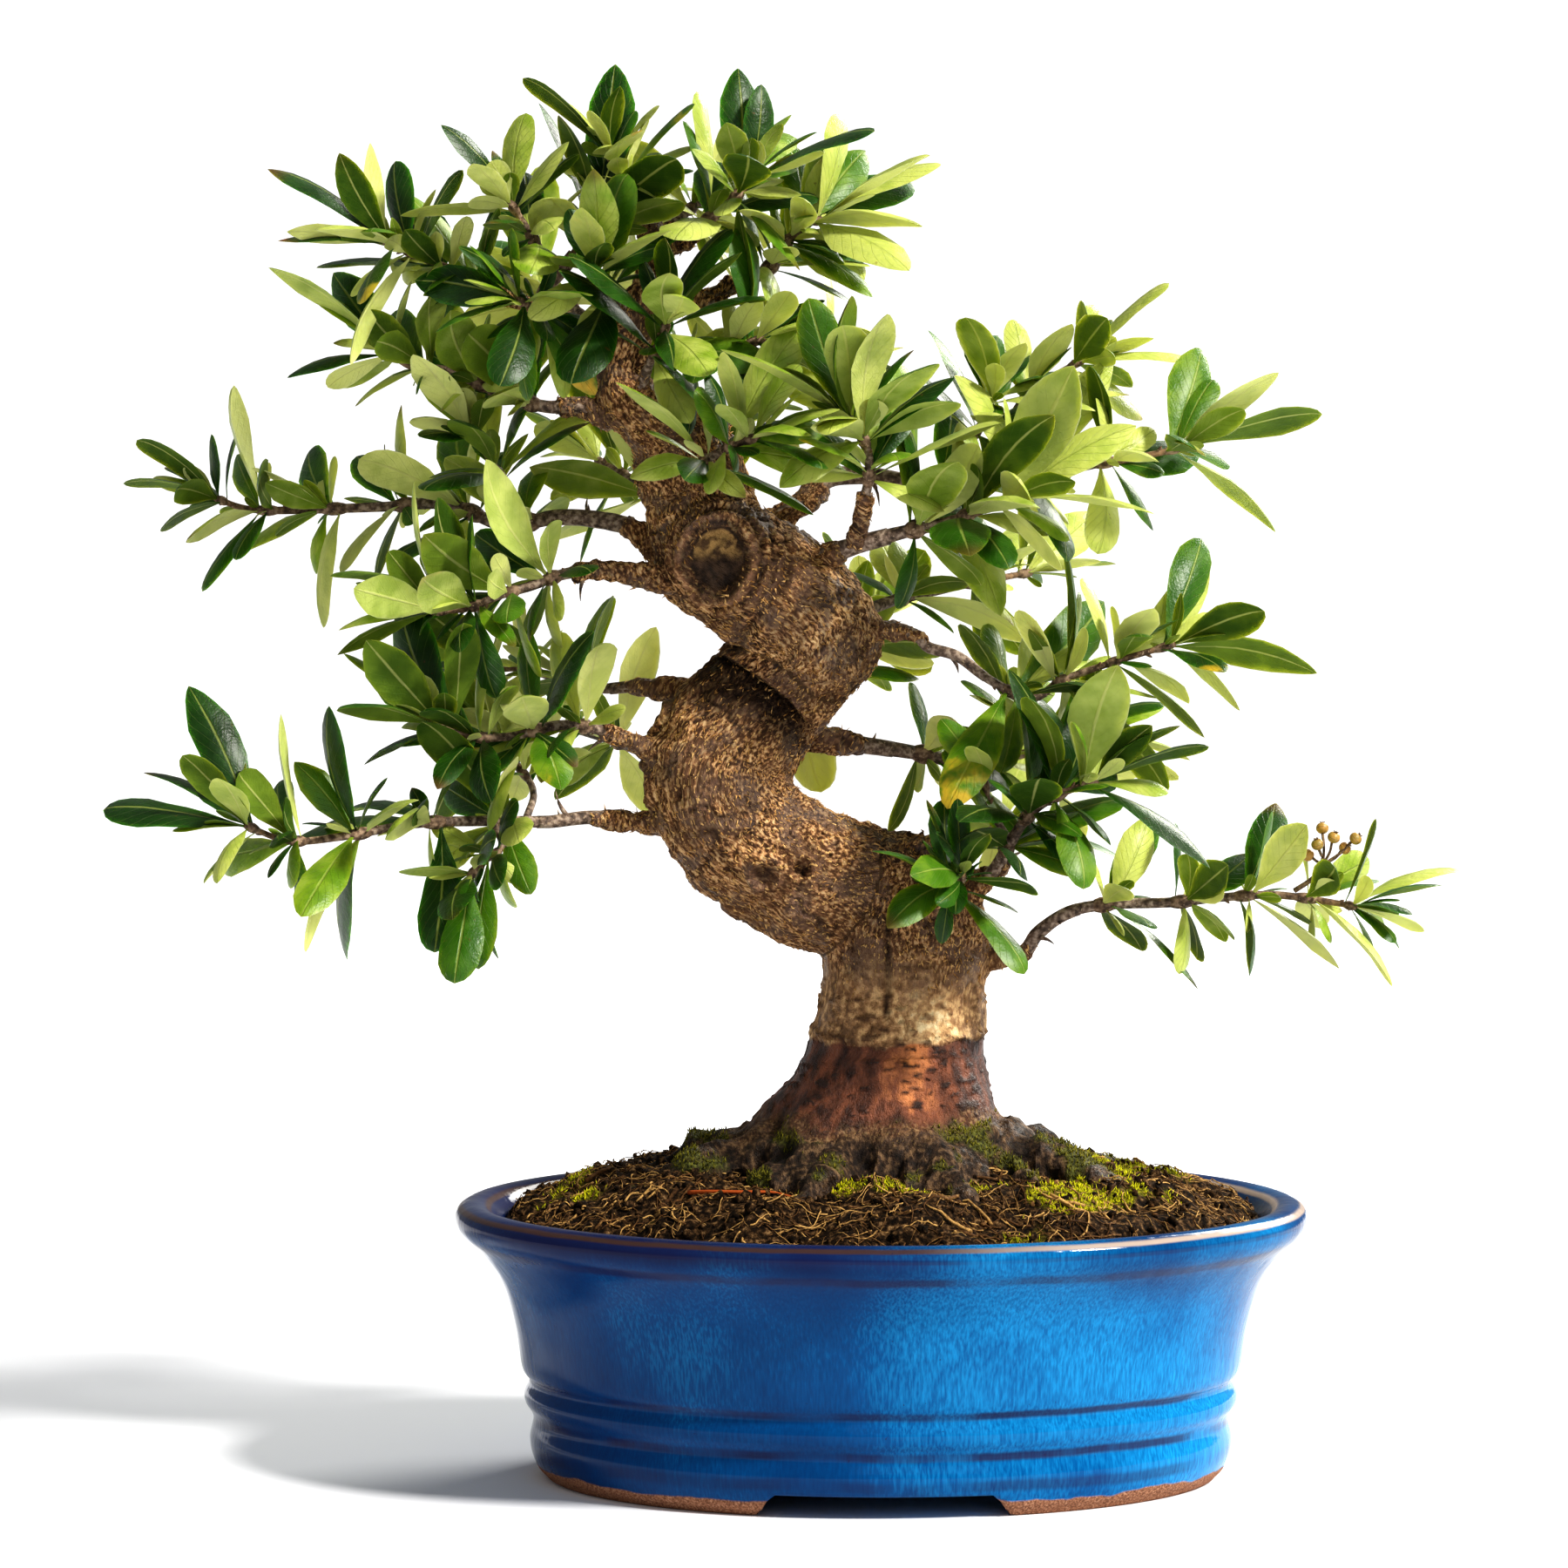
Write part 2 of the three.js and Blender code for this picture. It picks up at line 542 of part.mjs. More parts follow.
// Berries: a bunch of small round fruits on thin stalks, at the end of the lowest right bough.
const BERRY_RADIUS = 2.2;
const BUNCH_STALK = [[141.5, -15, 204.6], [147.5, -17.5, 209], [151, -19, 214]];
const BERRIES = [
  [149, -20, 221], [154.5, -21, 223.5], [158.5, -18, 219.5],
  [162, -20, 223], [151, -14, 226], [146, -17, 217],
];

function berryBunch() {
  const hub = BUNCH_STALK.at(-1);
  const stalks = BERRIES.map((centre) => twig([hub, centre], [0.6, 0.6], 0, 1, 3, 1));
  const berries = BERRIES.map((centre) => {
    const berry = new THREE.SphereGeometry(BERRY_RADIUS, 6, 4).rotateX(Math.PI / 2);
    return solidOf(berry.translate(...centre));
  });
  return join([twig(BUNCH_STALK, [0.9, 0.9], 0, 1, 3, 2), ...stalks, ...berries]);
}

// Soil: a mound that fills the pot, a little proud of the lip round the trunk.
const SOIL_PROFILE = [
  [0, FLOOR_TOP + GAP], [105.6, FLOOR_TOP + GAP], [110.4, 23], [117, 63], [130, 90], [122, 95], [102, 102],
  [74, 107.5], [40, 110], [0, 111],
];
const SOIL_TOP_STARTS = 91;

function soil(trunkHole, screens) {
  const geometry = ovalTurning(SOIL_PROFILE, SOIL_SIDES);
  const place = geometry.attributes.position;
  for (let i = 0; i < place.count; i++) {
    const [x, y, z] = [place.getX(i), place.getY(i), place.getZ(i)];
    if (z > SOIL_TOP_STARTS) {
      place.setZ(i, z + 1.1 * Math.sin(0.11 * x + 0.07 * y) + 0.9 * Math.sin(0.19 * y - 0.13 * x));
    }
  }
  let solid = solidOf(geometry).subtract(trunkHole);
  for (const x of screens) {
    const side = SCREEN_SIDE + 2 * GAP;
    const pocket = new THREE.BoxGeometry(side, side, 2 * (SCREEN_THICKNESS + 2 * GAP));
    solid = solid.subtract(solidOf(pocket.translate(x, 0, FLOOR_TOP)));
  }
  return solid;
}

// Assembly

const materials = {
  glazed_clay: new THREE.MeshStandardMaterial({ color: 0x1560b4, roughness: 0.15 }),
  screen: new THREE.MeshStandardMaterial({ color: 0x222222, roughness: 0.7 }),
  soil: new THREE.MeshStandardMaterial({ color: 0x3d2c1e, roughness: 0.95 }),
  bark: new THREE.MeshStandardMaterial({ color: 0x6a4a34, roughness: 0.85 }),
  leaf: new THREE.MeshStandardMaterial({ color: 0x4f7d22, roughness: 0.45 }),
  berry: new THREE.MeshStandardMaterial({ color: 0xa9761f, roughness: 0.4 }),
};
const bonsai = new THREE.Group();

function addPiece(name, solid, material) {
  const mesh = new THREE.Mesh(geometryOf(solid), materials[material]);
  mesh.name = name;
  bonsai.add(mesh);
}

const overlaps = (a, b) => {
  const [p, q] = [a.boundingBox(), b.boundingBox()];
  const apart = [0, 1, 2].some((i) => p.min[i] > q.max[i] || q.min[i] > p.max[i]);
  return !apart && !a.intersect(b).isEmpty();
};

const trunk = join([
  stretch(ROOT_CROWN, CROWN_SIDES, rootRidges),
  stretch(LOWER_BEND, BEND_SIDES, barkLumps),
  stretch(UPPER_BEND, BEND_SIDES, barkLumps),
  ...BOUGHS.map(limb),
  ...BOUGHS.flatMap((bough, i) => (bough.thorn ? [thorn(bough, i)] : [])),
  scarLip(),
]).subtract(scarCut());

const potSolid = pot();
const crownHole = stretch(ROOT_CROWN, CROWN_SIDES, rootRidges, GAP);
const soilSolid = soil(crownHole, [-DRAIN_HOLE_X, DRAIN_HOLE_X]);
const bunch = berryBunch();

// Every spray's wood is laid first. Then each leaf takes the first of a few seeded tries that clears all the
// wood, the leaves before it and every other piece. A leaf whose tries all fail is left off.
const sprays = BOUGHS.map((bough, i) => {
  const stems = stemsOf(bough, i);
  const wood = join(stems.map((stem, j) => stemWood(stem, j === 0)));
  return { name: bough.name, stems, wood, draw: seeded(1000 * TREE_SEED + i), blades: [] };
});

function clears(leaf, spray) {
  const whole = blade(leaf, LEAF_CLEARANCE);
  const outer = blade(leaf, LEAF_CLEARANCE, 0.22);
  if ([trunk, bunch, soilSolid, potSolid].some((other) => overlaps(whole, other))) return false;
  return sprays.every((other) =>
    [other.wood, ...other.blades].every((piece) => !overlaps(other === spray ? outer : whole, piece)),
  );
}

for (const spray of sprays) {
  for (const stem of spray.stems) {
    for (const rosette of rosettesOf(stem)) {
      for (let k = 0; k < rosette.leaves; k++) {
        for (let attempt = 0; attempt < LEAF_TRIES; attempt++) {
          const leaf = leafAt(rosette, k, attempt, stem.size, spray.draw);
          if (!clears(leaf, spray)) continue;
          spray.blades.push(blade(leaf));
          break;
        }
      }
    }
  }
}

addPiece("pot", potSolid, "glazed_clay");
addPiece("drain_screen_left", drainScreen(-DRAIN_HOLE_X), "screen");
addPiece("drain_screen_right", drainScreen(DRAIN_HOLE_X), "screen");
addPiece("soil", soilSolid, "soil");
addPiece("trunk", trunk, "bark");
addPiece("berry_bunch", bunch, "berry");
for (const spray of sprays) addPiece("spray_" + spray.name, join([spray.wood, ...spray.blades]), "leaf");

// The origin is on the surface that the pot stands on, under the middle of the whole bonsai.
const middle = new THREE.Box3().setFromObject(bonsai).getCenter(vec(0, 0, 0));
bonsai.position.set(-middle.x, -middle.y, 0);

export default bonsai;
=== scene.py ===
# %% [markdown]
# # A potted firethorn bonsai
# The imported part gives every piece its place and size. This lesson dresses it in the finish of the real
# thing: bark with a pruning scar, thin glossy leaves, crumbly soil with moss, and a pot in running blue
# glaze. Shapes are surfaces worked out with numpy, as a formula over two parameters or a ring carried along
# a path. Lengths are in millimetres from the middle of the pot's foot, and become metres when a mesh is
# made.

# %% Load the frame
import itertools
import math

import bpy
import numpy as np
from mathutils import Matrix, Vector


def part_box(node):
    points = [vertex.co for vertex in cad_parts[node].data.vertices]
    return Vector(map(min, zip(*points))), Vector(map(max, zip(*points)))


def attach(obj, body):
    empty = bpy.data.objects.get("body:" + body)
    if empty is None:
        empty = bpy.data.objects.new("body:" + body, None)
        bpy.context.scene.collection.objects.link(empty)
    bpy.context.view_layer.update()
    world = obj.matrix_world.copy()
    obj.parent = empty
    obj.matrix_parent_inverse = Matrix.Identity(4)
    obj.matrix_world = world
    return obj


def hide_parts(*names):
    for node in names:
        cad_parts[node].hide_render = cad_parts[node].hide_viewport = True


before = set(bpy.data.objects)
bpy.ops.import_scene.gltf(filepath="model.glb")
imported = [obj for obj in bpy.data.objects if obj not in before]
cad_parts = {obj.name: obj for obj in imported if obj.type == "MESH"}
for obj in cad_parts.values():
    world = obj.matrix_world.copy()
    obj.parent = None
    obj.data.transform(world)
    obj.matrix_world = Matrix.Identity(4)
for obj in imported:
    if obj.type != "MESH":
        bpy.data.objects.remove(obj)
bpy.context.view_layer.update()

MM = 0.001
pot_low, pot_high = (np.array(corner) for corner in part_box("pot"))
POT_CENTRE = (pot_low + pot_high) / 2 * (1, 1, 0)
print("pot centre in the frame, mm:", np.round(POT_CENTRE / MM, 2))

# %% [markdown]
# ## Camera
# The photograph was taken from about three metres with a long lens, at the height of the tree's top. A long
# lens keeps the near and far leaves at nearly the same scale, so the camera copies that distance and lens.
# The Standard view transform shows colours as strong as they are set.

# %% Aim the camera
CAMERA_PLACE = (-34, -3000, 503)
CAMERA_AIM = (-33.6, 0, 240)
LENS = 200.8


def in_frame(points):
    """Millimetres from the pot's middle to metres in the frame."""
    return np.asarray(points, float) * MM + POT_CENTRE


camera = bpy.data.objects.new("camera", bpy.data.cameras.new("camera"))
bpy.context.scene.collection.objects.link(camera)
camera.data.lens = LENS
camera.data.sensor_width = 36
camera.location = in_frame(CAMERA_PLACE)
look = Vector(in_frame(CAMERA_AIM)) - camera.location
camera.rotation_euler = look.to_track_quat("-Z", "Y").to_euler()
camera.data.clip_end = 500
bpy.context.scene.camera = camera
bpy.context.scene.view_settings.view_transform = "Standard"
bpy.context.scene.view_settings.look = "Medium High Contrast"
print("camera distance, m:", round(look.length, 3))

# %% [markdown]
# ## Light
# The photograph is lit like a bright window on the right: one strong light high on the right and a little in
# front, with soft edges, and white all round. A sun lamp ten degrees wide gives that, and lights the floor
# evenly to its far end. Two area lights edge the leaves from behind and fill the front. The world is a dim
# white for the light it gives, and plain white where the camera sees it past the floor.

# %% Hang the lights
def aim_light(name, kind, place, aim, energy, colour):
    """A light at one point in metres, turned towards another."""
    light = bpy.data.lights.new(name, kind)
    light.energy = energy
    light.color = colour
    lamp = bpy.data.objects.new(name, light)
    bpy.context.scene.collection.objects.link(lamp)
    lamp.location = place
    lamp.rotation_euler = (Vector(aim) - lamp.location).to_track_quat("-Z", "Y").to_euler()
    return light


aim_light("sun_right", "SUN", (1.25, -0.75, 1.5), (0, 0, 0.2), 4.6, (1, 0.96, 0.90)).angle = math.radians(10)
aim_light("back_right", "AREA", (1.0, 1.3, 1.1), (0, 0, 0.25), 30, (1, 0.98, 0.92)).size = 0.8
aim_light("front_fill", "AREA", (0.5, -2.6, 1.3), (0, 0, 0.22), 5, (0.96, 0.98, 1)).size = 1.8

world = bpy.data.worlds.new("studio")
world.use_nodes = True
sky = world.node_tree
for name, strength in (("Background", 0.25), ("Background.001", 1.0)):
    glow = sky.nodes.get(name) or sky.nodes.new("ShaderNodeBackground")
    glow.inputs["Color"].default_value = (1, 1, 1, 1)
    glow.inputs["Strength"].default_value = strength
seen = sky.nodes.new("ShaderNodeLightPath")
either = sky.nodes.new("ShaderNodeMixShader")
sky.links.new(seen.outputs["Is Camera Ray"], either.inputs[0])
sky.links.new(sky.nodes["Background"].outputs[0], either.inputs[1])
sky.links.new(sky.nodes["Background.001"].outputs[0], either.inputs[2])
sky.links.new(either.outputs[0], sky.nodes["World Output"].inputs["Surface"])
bpy.context.scene.world = world

# %% [markdown]
# ## Making meshes
# Most of the tree is rings joined into closed skins: a twig, a leaf, a root and the trunk itself. One
# function joins any number of such stacks at once. A skin also carries the number of the finish on each
# face, and marks at each point that the materials read, such as how old a leaf is.

# %% A skin over rings
class Skin:
    """Points, faces with four and three corners, a finish number for each face, and marks at each point."""

    def __init__(self, points, quads, triangles, quad_finish, triangle_finish, marks=None):
        self.points = points
        self.quads = quads
        self.triangles = triangles
        self.quad_finish = quad_finish
        self.triangle_finish = triangle_finish
        self.marks = marks or {}


def loft(rings, tips=None, side_finish=0, marks=None):
    """Closed skins over stacks of rings, an array of stacks x rings x sides x 3, all stacks at once. A ring
    runs counter-clockwise about the stack's direction. Each ring joins the next by four-cornered faces, and
    each end closes in a fan to its tip, which is the middle of the end ring unless tips says otherwise.
    Marks have a value for each ring point, and each end's tip takes the mean of its ring."""
    rings = np.asarray(rings, float)
    stacks, length, sides = rings.shape[:3]
    if tips is None:
        tips = rings[:, [0, -1]].mean(axis=2)
    points = np.concatenate([rings.reshape(stacks, -1, 3), tips], axis=1)
    ring, side = np.meshgrid(np.arange(length - 1), np.arange(sides), indexing="ij")
    here = ring * sides + side
    following = ring * sides + (side + 1) % sides
    quads = np.stack([here, following, following + sides, here + sides], axis=-1).reshape(-1, 4)
    side, turned = np.arange(sides), (np.arange(sides) + 1) % sides
    last, pole = (length - 1) * sides, length * sides
    start_fan = np.stack([np.full(sides, pole), turned, side], axis=1)
    end_fan = np.stack([last + side, last + turned, np.full(sides, pole + 1)], axis=1)
    triangles = np.concatenate([start_fan, end_fan])
    shift = (np.arange(stacks) * points.shape[1])[:, None, None]
    side_finish = np.broadcast_to(side_finish, (sides,))
    flat_marks = {}
    for name, values in (marks or {}).items():
        values = np.broadcast_to(values, (stacks, length, sides, values.shape[-1]))
        ends = values[:, [0, -1]].mean(axis=2)
        joined = np.concatenate([values.reshape(stacks, length * sides, -1), ends], axis=1)
        flat_marks[name] = joined.reshape(-1, values.shape[-1])
    return Skin(
        points.reshape(-1, 3),
        (quads + shift).reshape(-1, 4),
        (triangles + shift).reshape(-1, 3),
        np.tile(side_finish, stacks * (length - 1)),
        np.tile(side_finish, stacks * 2),
        flat_marks,
    )


def gather(skins):
    """Several skins as one. A mark that one of them lacks is zero there."""
    starts = np.cumsum([0] + [len(s.points) for s in skins])
    names = {name: values.shape[1] for s in skins for name, values in s.marks.items()}
    marks = {
        name: np.concatenate([s.marks.get(name, np.zeros((len(s.points), width))) for s in skins])
        for name, width in names.items()
    }
    return Skin(
        np.concatenate([s.points for s in skins]),
        np.concatenate([s.quads + start for s, start in zip(skins, starts)]),
        np.concatenate([s.triangles + start for s, start in zip(skins, starts)]),
        np.concatenate([s.quad_finish for s in skins]),
        np.concatenate([s.triangle_finish for s in skins]),
        marks,
    )


# %% From a skin to a piece of the part
def mesh_of(name, skin):
    """A Blender mesh in metres in the frame. The mark uv becomes the UV map, and the others attributes."""
    mesh = bpy.data.meshes.new(name)
    corners = np.concatenate([skin.quads.ravel(), skin.triangles.ravel()]).astype(np.int32)
    sizes = np.concatenate([np.full(len(skin.quads), 4), np.full(len(skin.triangles), 3)])
    mesh.vertices.add(len(skin.points))
    mesh.vertices.foreach_set("co", in_frame(skin.points).astype(np.float32).ravel())
    mesh.loops.add(len(corners))
    mesh.loops.foreach_set("vertex_index", corners)
    mesh.polygons.add(len(sizes))
    mesh.polygons.foreach_set("loop_start", (np.cumsum(sizes) - sizes).astype(np.int32))
    finishes = np.concatenate([skin.quad_finish, skin.triangle_finish]).astype(np.int32)
    mesh.polygons.foreach_set("material_index", finishes)
    mesh.polygons.foreach_set("use_smooth", np.ones(len(sizes), bool))
    for mark, values in skin.marks.items():
        if mark == "uv":
            layer = mesh.uv_layers.new(name="uv")
            layer.data.foreach_set("uv", values[corners].astype(np.float32).ravel())
        else:
            add_mark(mesh, mark, values)
    mesh.update(calc_edges=True)
    mesh.validate()
    return mesh


MARK_KINDS = {1: ("FLOAT", "value"), 3: ("FLOAT_VECTOR", "vector"), 4: ("FLOAT_COLOR", "color")}


def add_mark(mesh, name, values):
    """A point attribute of one, three or four numbers, as a value, a vector or a colour."""
    kind, field = MARK_KINDS[values.shape[1]]
    attribute = mesh.attributes.new(name, kind, "POINT")
    attribute.data.foreach_set(field, values.astype(np.float32).ravel())


def add_piece(name, mesh, finishes, stands_for):
    """Links a mesh as a piece that rides on the tree's one body and stands for CAD nodes."""
    piece = bpy.data.objects.new(name, mesh)
    bpy.context.scene.collection.objects.link(piece)
    for finish in finishes:
        mesh.materials.append(finish)
    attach(piece, "root")
    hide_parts(*stands_for)
    triangles = sum(len(polygon.vertices) - 2 for polygon in mesh.polygons)
    print(f"{name}: {triangles} triangles")


# %% [markdown]
# ## Noise and curves
# Rough surfaces need noise: random heights at the corners of a lattice, blended smoothly in between, and
# then summed at finer and finer scales. Branches need a smooth curve through a few given points.

# %% Noise at any point
NOISE_FACTORS = np.array([374761393, 668265263, 1274126177])
SEED_FACTOR = 974634777


def lattice_noise(points, seed=0):
    """Smooth noise from -1 to 1. Each corner of the unit cell round a point has a random height, from mixing
    its whole-number coordinates, and the heights blend by the curve 6t^5 - 15t^4 + 10t^3 along each axis."""
    cell = np.floor(points).astype(np.int64)
    part = points - cell
    fade = part**3 * (part * (part * 6 - 15) + 10)
    total = np.zeros(len(points))
    for corner in itertools.product((0, 1), repeat=3):
        spot = cell + corner
        bits = spot @ NOISE_FACTORS + seed * SEED_FACTOR
        bits = (bits ^ (bits >> 13)) * NOISE_FACTORS[2] & 0xFFFFFFFF
        height = ((bits ^ (bits >> 16)) & 0xFFFF) / 32767.5 - 1
        total += height * np.prod(np.where(corner, fade, 1 - fade), axis=1)
    return total


def rough(points, size, octaves=3, seed=0):
    """Noise summed over octaves: features of `size` millimetres, then each half as large and as high."""
    layers = [lattice_noise(points * 2**i / size, seed + i) / 2**i for i in range(octaves)]
    return np.sum(layers, axis=0) / 1.5


def eased(value, low, high):
    """0 below low, 1 above high, and the smooth curve 3t^2 - 2t^3 between."""
    t = np.clip((np.asarray(value, float) - low) / (high - low), 0, 1)
    return t * t * (3 - 2 * t)


# %% A smooth line through given points
def line_at(path, share):
    """Points at shares of a path. Between two path points the line is a cubic whose slope at each is half
    the difference of its neighbours, and past each end the path goes on straight."""
    path = np.asarray(path, float)
    ends = [2 * path[0] - path[1]], [2 * path[-1] - path[-2]]
    path = np.concatenate([ends[0], path, ends[1]])
    place = np.clip(np.asarray(share, float), 0, 1) * (len(path) - 3)
    first = np.minimum(place.astype(int), len(path) - 4)
    t = (place - first)[..., None]
    before, start, stop, after = (path[first + i] for i in range(4))
    slope_in, slope_out = (stop - before) / 2, (after - start) / 2
    return (
        (2 * t**3 - 3 * t**2 + 1) * start
        + (t**3 - 2 * t**2 + t) * slope_in
        + (3 * t**2 - 2 * t**3) * stop
        + (t**3 - t**2) * slope_out
    )


def unit(vectors):
    """Each vector at length 1."""
    return vectors / np.linalg.norm(vectors, axis=-1, keepdims=True)


def direction_at(path, share):
    """The line's own direction: from a point a little before the share to one a little after it."""
    share = np.asarray(share, float)
    step = 1e-4
    ahead, behind = np.minimum(share + step, 1), np.maximum(share - step, 0)
    return unit(line_at(path, ahead) - line_at(path, behind))


def line_length(path):
    """The sum of 200 equal steps along the line."""
    steps = np.diff(line_at(path, np.linspace(0, 1, 201)), axis=0)
    return np.linalg.norm(steps, axis=1).sum()


UP = np.array([0, 0, 1.0])
FRONT = np.array([0, -1.0, 0])


def square_to(along):
    """Two directions square to each given one: as near to upright as can be, and sideways."""
    steep = np.abs(along[..., 2:]) > 0.95
    reference = np.where(steep, FRONT, UP)
    upward = unit(reference - along * (reference * along).sum(-1, keepdims=True))
    return upward, np.cross(along, upward)


def full_turn(count):
    """Angles that share out a full turn evenly."""
    return np.arange(count) * 2 * math.pi / count


def spokes(first, second, angle):
    """first cos a + second sin a at each angle, for one pair of directions or for many."""
    return first[..., None, :] * np.cos(angle)[:, None] + second[..., None, :] * np.sin(angle)[:, None]


def tube(path, shares, radii, sides, marks=None, finish=0, bumps=None):
    """A round skin along a line: at each share, centre + radius (upward cos a + sideways sin a)."""
    centres, along = line_at(path, shares), direction_at(path, shares)
    upward, sideways = square_to(along)
    reach = np.broadcast_to(np.asarray(radii, float)[:, None], (len(shares), sides))
    if bumps is not None:
        reach = reach * bumps
    rings = centres[:, None] + spokes(upward, sideways, full_turn(sides)) * reach[..., None]
    return loft(rings[None], None, finish, marks)


print("noise check:", np.round(rough(np.array([[1.5, 2.5, 3.5]]), 2.0), 3))

# %% [markdown]
# ## Shared shader effects
# Every finish here starts from the same three effects, so each is a node group with named inputs: mottling,
# a soft threshold on noise for patches and speckles; a band, a ring of colour at one height with a wavering
# edge; and relief, a fine height for bumps. A finish places them with its own sizes and colours.

# %% Small helpers for shader nodes
def add_node(tree, kind, inputs=None, **settings):
    """Adds a shader node. Each input, by name or number, is a socket to link from or a value to set."""
    node = tree.nodes.new("ShaderNode" + kind)
    for key, value in settings.items():
        setattr(node, key, value)
    for key, value in (inputs or {}).items():
        if isinstance(value, bpy.types.NodeSocket):
            tree.links.new(value, node.inputs[key])
        else:
            node.inputs[key].default_value = value
    return node


def maths(tree, operation, first, second=0.0, clamp=False):
    """One step of arithmetic on values."""
    return add_node(tree, "Math", {0: first, 1: second}, operation=operation, use_clamp=clamp).outputs[0]


def times(tree, first, second):
    """Two values multiplied."""
    return maths(tree, "MULTIPLY", first, second)


def plus(tree, first, second, clamp=False):
    """Two values added, and kept from 0 to 1 if clamp says so."""
    return maths(tree, "ADD", first, second, clamp)


def minus(tree, first, second):
    """The second value taken from the first."""
    return maths(tree, "SUBTRACT", first, second)


def soft_step(tree, value, low, high):
    """0 at low and 1 at high, eased between."""
    inputs = {"Value": value, "From Min": low, "From Max": high}
    return add_node(tree, "MapRange", inputs, interpolation_type="SMOOTHSTEP").outputs["Result"]


def between(tree, share, low, high):
    """A share from 0 to 1 spread evenly from low to high."""
    return add_node(tree, "MapRange", {"Value": share, "To Min": low, "To Max": high}).outputs[0]


def mixed(tree, share, first, second):
    """One colour over another by a share from 0 to 1."""
    first = first if isinstance(first, bpy.types.NodeSocket) else (*first, 1)
    second = second if isinstance(second, bpy.types.NodeSocket) else (*second, 1)
    return add_node(tree, "Mix", {0: share, 6: first, 7: second}, data_type="RGBA").outputs[2]


def stained(tree, colour, share, strength, stain):
    """A stain laid over a colour by a share times a strength."""
    return mixed(tree, times(tree, share, strength), colour, stain)


def shades(tree, share, *stops):
    """A colour ramp: each stop is a place from 0 to 1 and a colour."""
    node = add_node(tree, "ValToRGB", {"Fac": share})
    elements = node.color_ramp.elements
    while len(elements) < len(stops):
        elements.new(0.5)
    for element, (place, colour) in zip(elements, stops):
        element.position = place
        element.color = (*colour, 1)
    return node.outputs["Color"]


def new_group(name, inputs, outputs):
    """An empty node group with its sockets, given as name and kind."""
    group = bpy.data.node_groups.new(name, "ShaderNodeTree")
    for direction, sockets in (("INPUT", inputs), ("OUTPUT", outputs)):
        for label, kind in sockets.items():
            group.interface.new_socket(label, in_out=direction, socket_type="NodeSocket" + kind)
    return group, group.nodes.new("NodeGroupInput"), group.nodes.new("NodeGroupOutput")


# %% Mottling: soft patches or speckles
MOTTLING, given, result = new_group(
    "mottling",
    {"Place": "Vector", "Scale": "Float", "Detail": "Float", "Low": "Float", "High": "Float"},
    {"Share": "Float"},
)
noise = add_node(
    MOTTLING,
    "TexNoise",
    {"Vector": given.outputs["Place"], "Scale": given.outputs["Scale"], "Detail": given.outputs["Detail"]},
)
share = soft_step(MOTTLING, noise.outputs[0], given.outputs["Low"], given.outputs["High"])
MOTTLING.links.new(share, result.inputs["Share"])

# %% Band: a ring of colour at one height
BAND, given, result = new_group(
    "band",
    {"Place": "Vector", "Height": "Float", "Half width": "Float", "Waver": "Float", "Waver scale": "Float"},
    {"Share": "Float"},
)
height = add_node(BAND, "SeparateXYZ", {0: given.outputs["Place"]}).outputs["Z"]
waver = add_node(BAND, "TexNoise", {"Vector": given.outputs["Place"], "Scale": given.outputs["Waver scale"]})
swing = times(BAND, minus(BAND, waver.outputs[0], 0.5), given.outputs["Waver"])
away = maths(BAND, "ABSOLUTE", plus(BAND, minus(BAND, height, given.outputs["Height"]), swing))
closeness = soft_step(BAND, maths(BAND, "DIVIDE", away, given.outputs["Half width"]), 1.0, 0.3)
BAND.links.new(closeness, result.inputs["Share"])

# %% Relief: two sizes of fine noise for bumps
RELIEF, given, result = new_group(
    "relief", {"Place": "Vector", "Scale": "Float", "Fine share": "Float"}, {"Height": "Float"}
)
coarse = add_node(RELIEF, "TexNoise", {"Vector": given.outputs["Place"], "Scale": given.outputs["Scale"]})
finer = times(RELIEF, given.outputs["Scale"], 4.0)
fine = add_node(RELIEF, "TexNoise", {"Vector": given.outputs["Place"], "Scale": finer})
weighed = times(RELIEF, fine.outputs[0], given.outputs["Fine share"])
RELIEF.links.new(plus(RELIEF, coarse.outputs[0], weighed), result.inputs["Height"])
print("shader groups:", [group.name for group in bpy.data.node_groups])


# %% Placing an effect, and starting a finish
def effect(tree, group, **inputs):
    """Places a shared effect. An input's name has _ for each space."""
    named = {key.replace("_", " ").capitalize(): value for key, value in inputs.items()}
    return add_node(tree, "Group", named, node_tree=group).outputs[0]


def mottled(tree, place, scale, detail, low, high):
    """Places the mottling: noise of a scale and detail, as a share from 0 at low to 1 at high."""
    return effect(tree, MOTTLING, place=place, scale=scale, detail=detail, low=low, high=high)


def new_finish(name, **constants):
    """A material with a Principled shader whose plain numbers are set on its own sockets."""
    material = bpy.data.materials.new(name)
    material.use_nodes = True
    tree = material.node_tree
    shader = tree.nodes["Principled BSDF"]
    for key, value in constants.items():
        shader.inputs[key.replace("_", " ").title().replace("Ior", "IOR")].default_value = value
    return material, tree, shader


def place_in_mm(tree, stretch=(1, 1, 1)):
    """Object coordinates in millimetres from the middle of the pot's foot, stretched along each axis."""
    start = add_node(tree, "TexCoord").outputs["Object"]
    scale = [s / MM for s in stretch]
    moved = [-c * s for c, s in zip(POT_CENTRE, scale)]
    return add_node(tree, "Mapping", {"Vector": start, "Location": moved, "Scale": scale}).outputs[0]


def mark_at(tree, name, outlet):
    """A mark that the mesh carries: its Color, Vector or Fac outlet."""
    return add_node(tree, "Attribute", attribute_name=name, attribute_type="GEOMETRY").outputs[outlet]


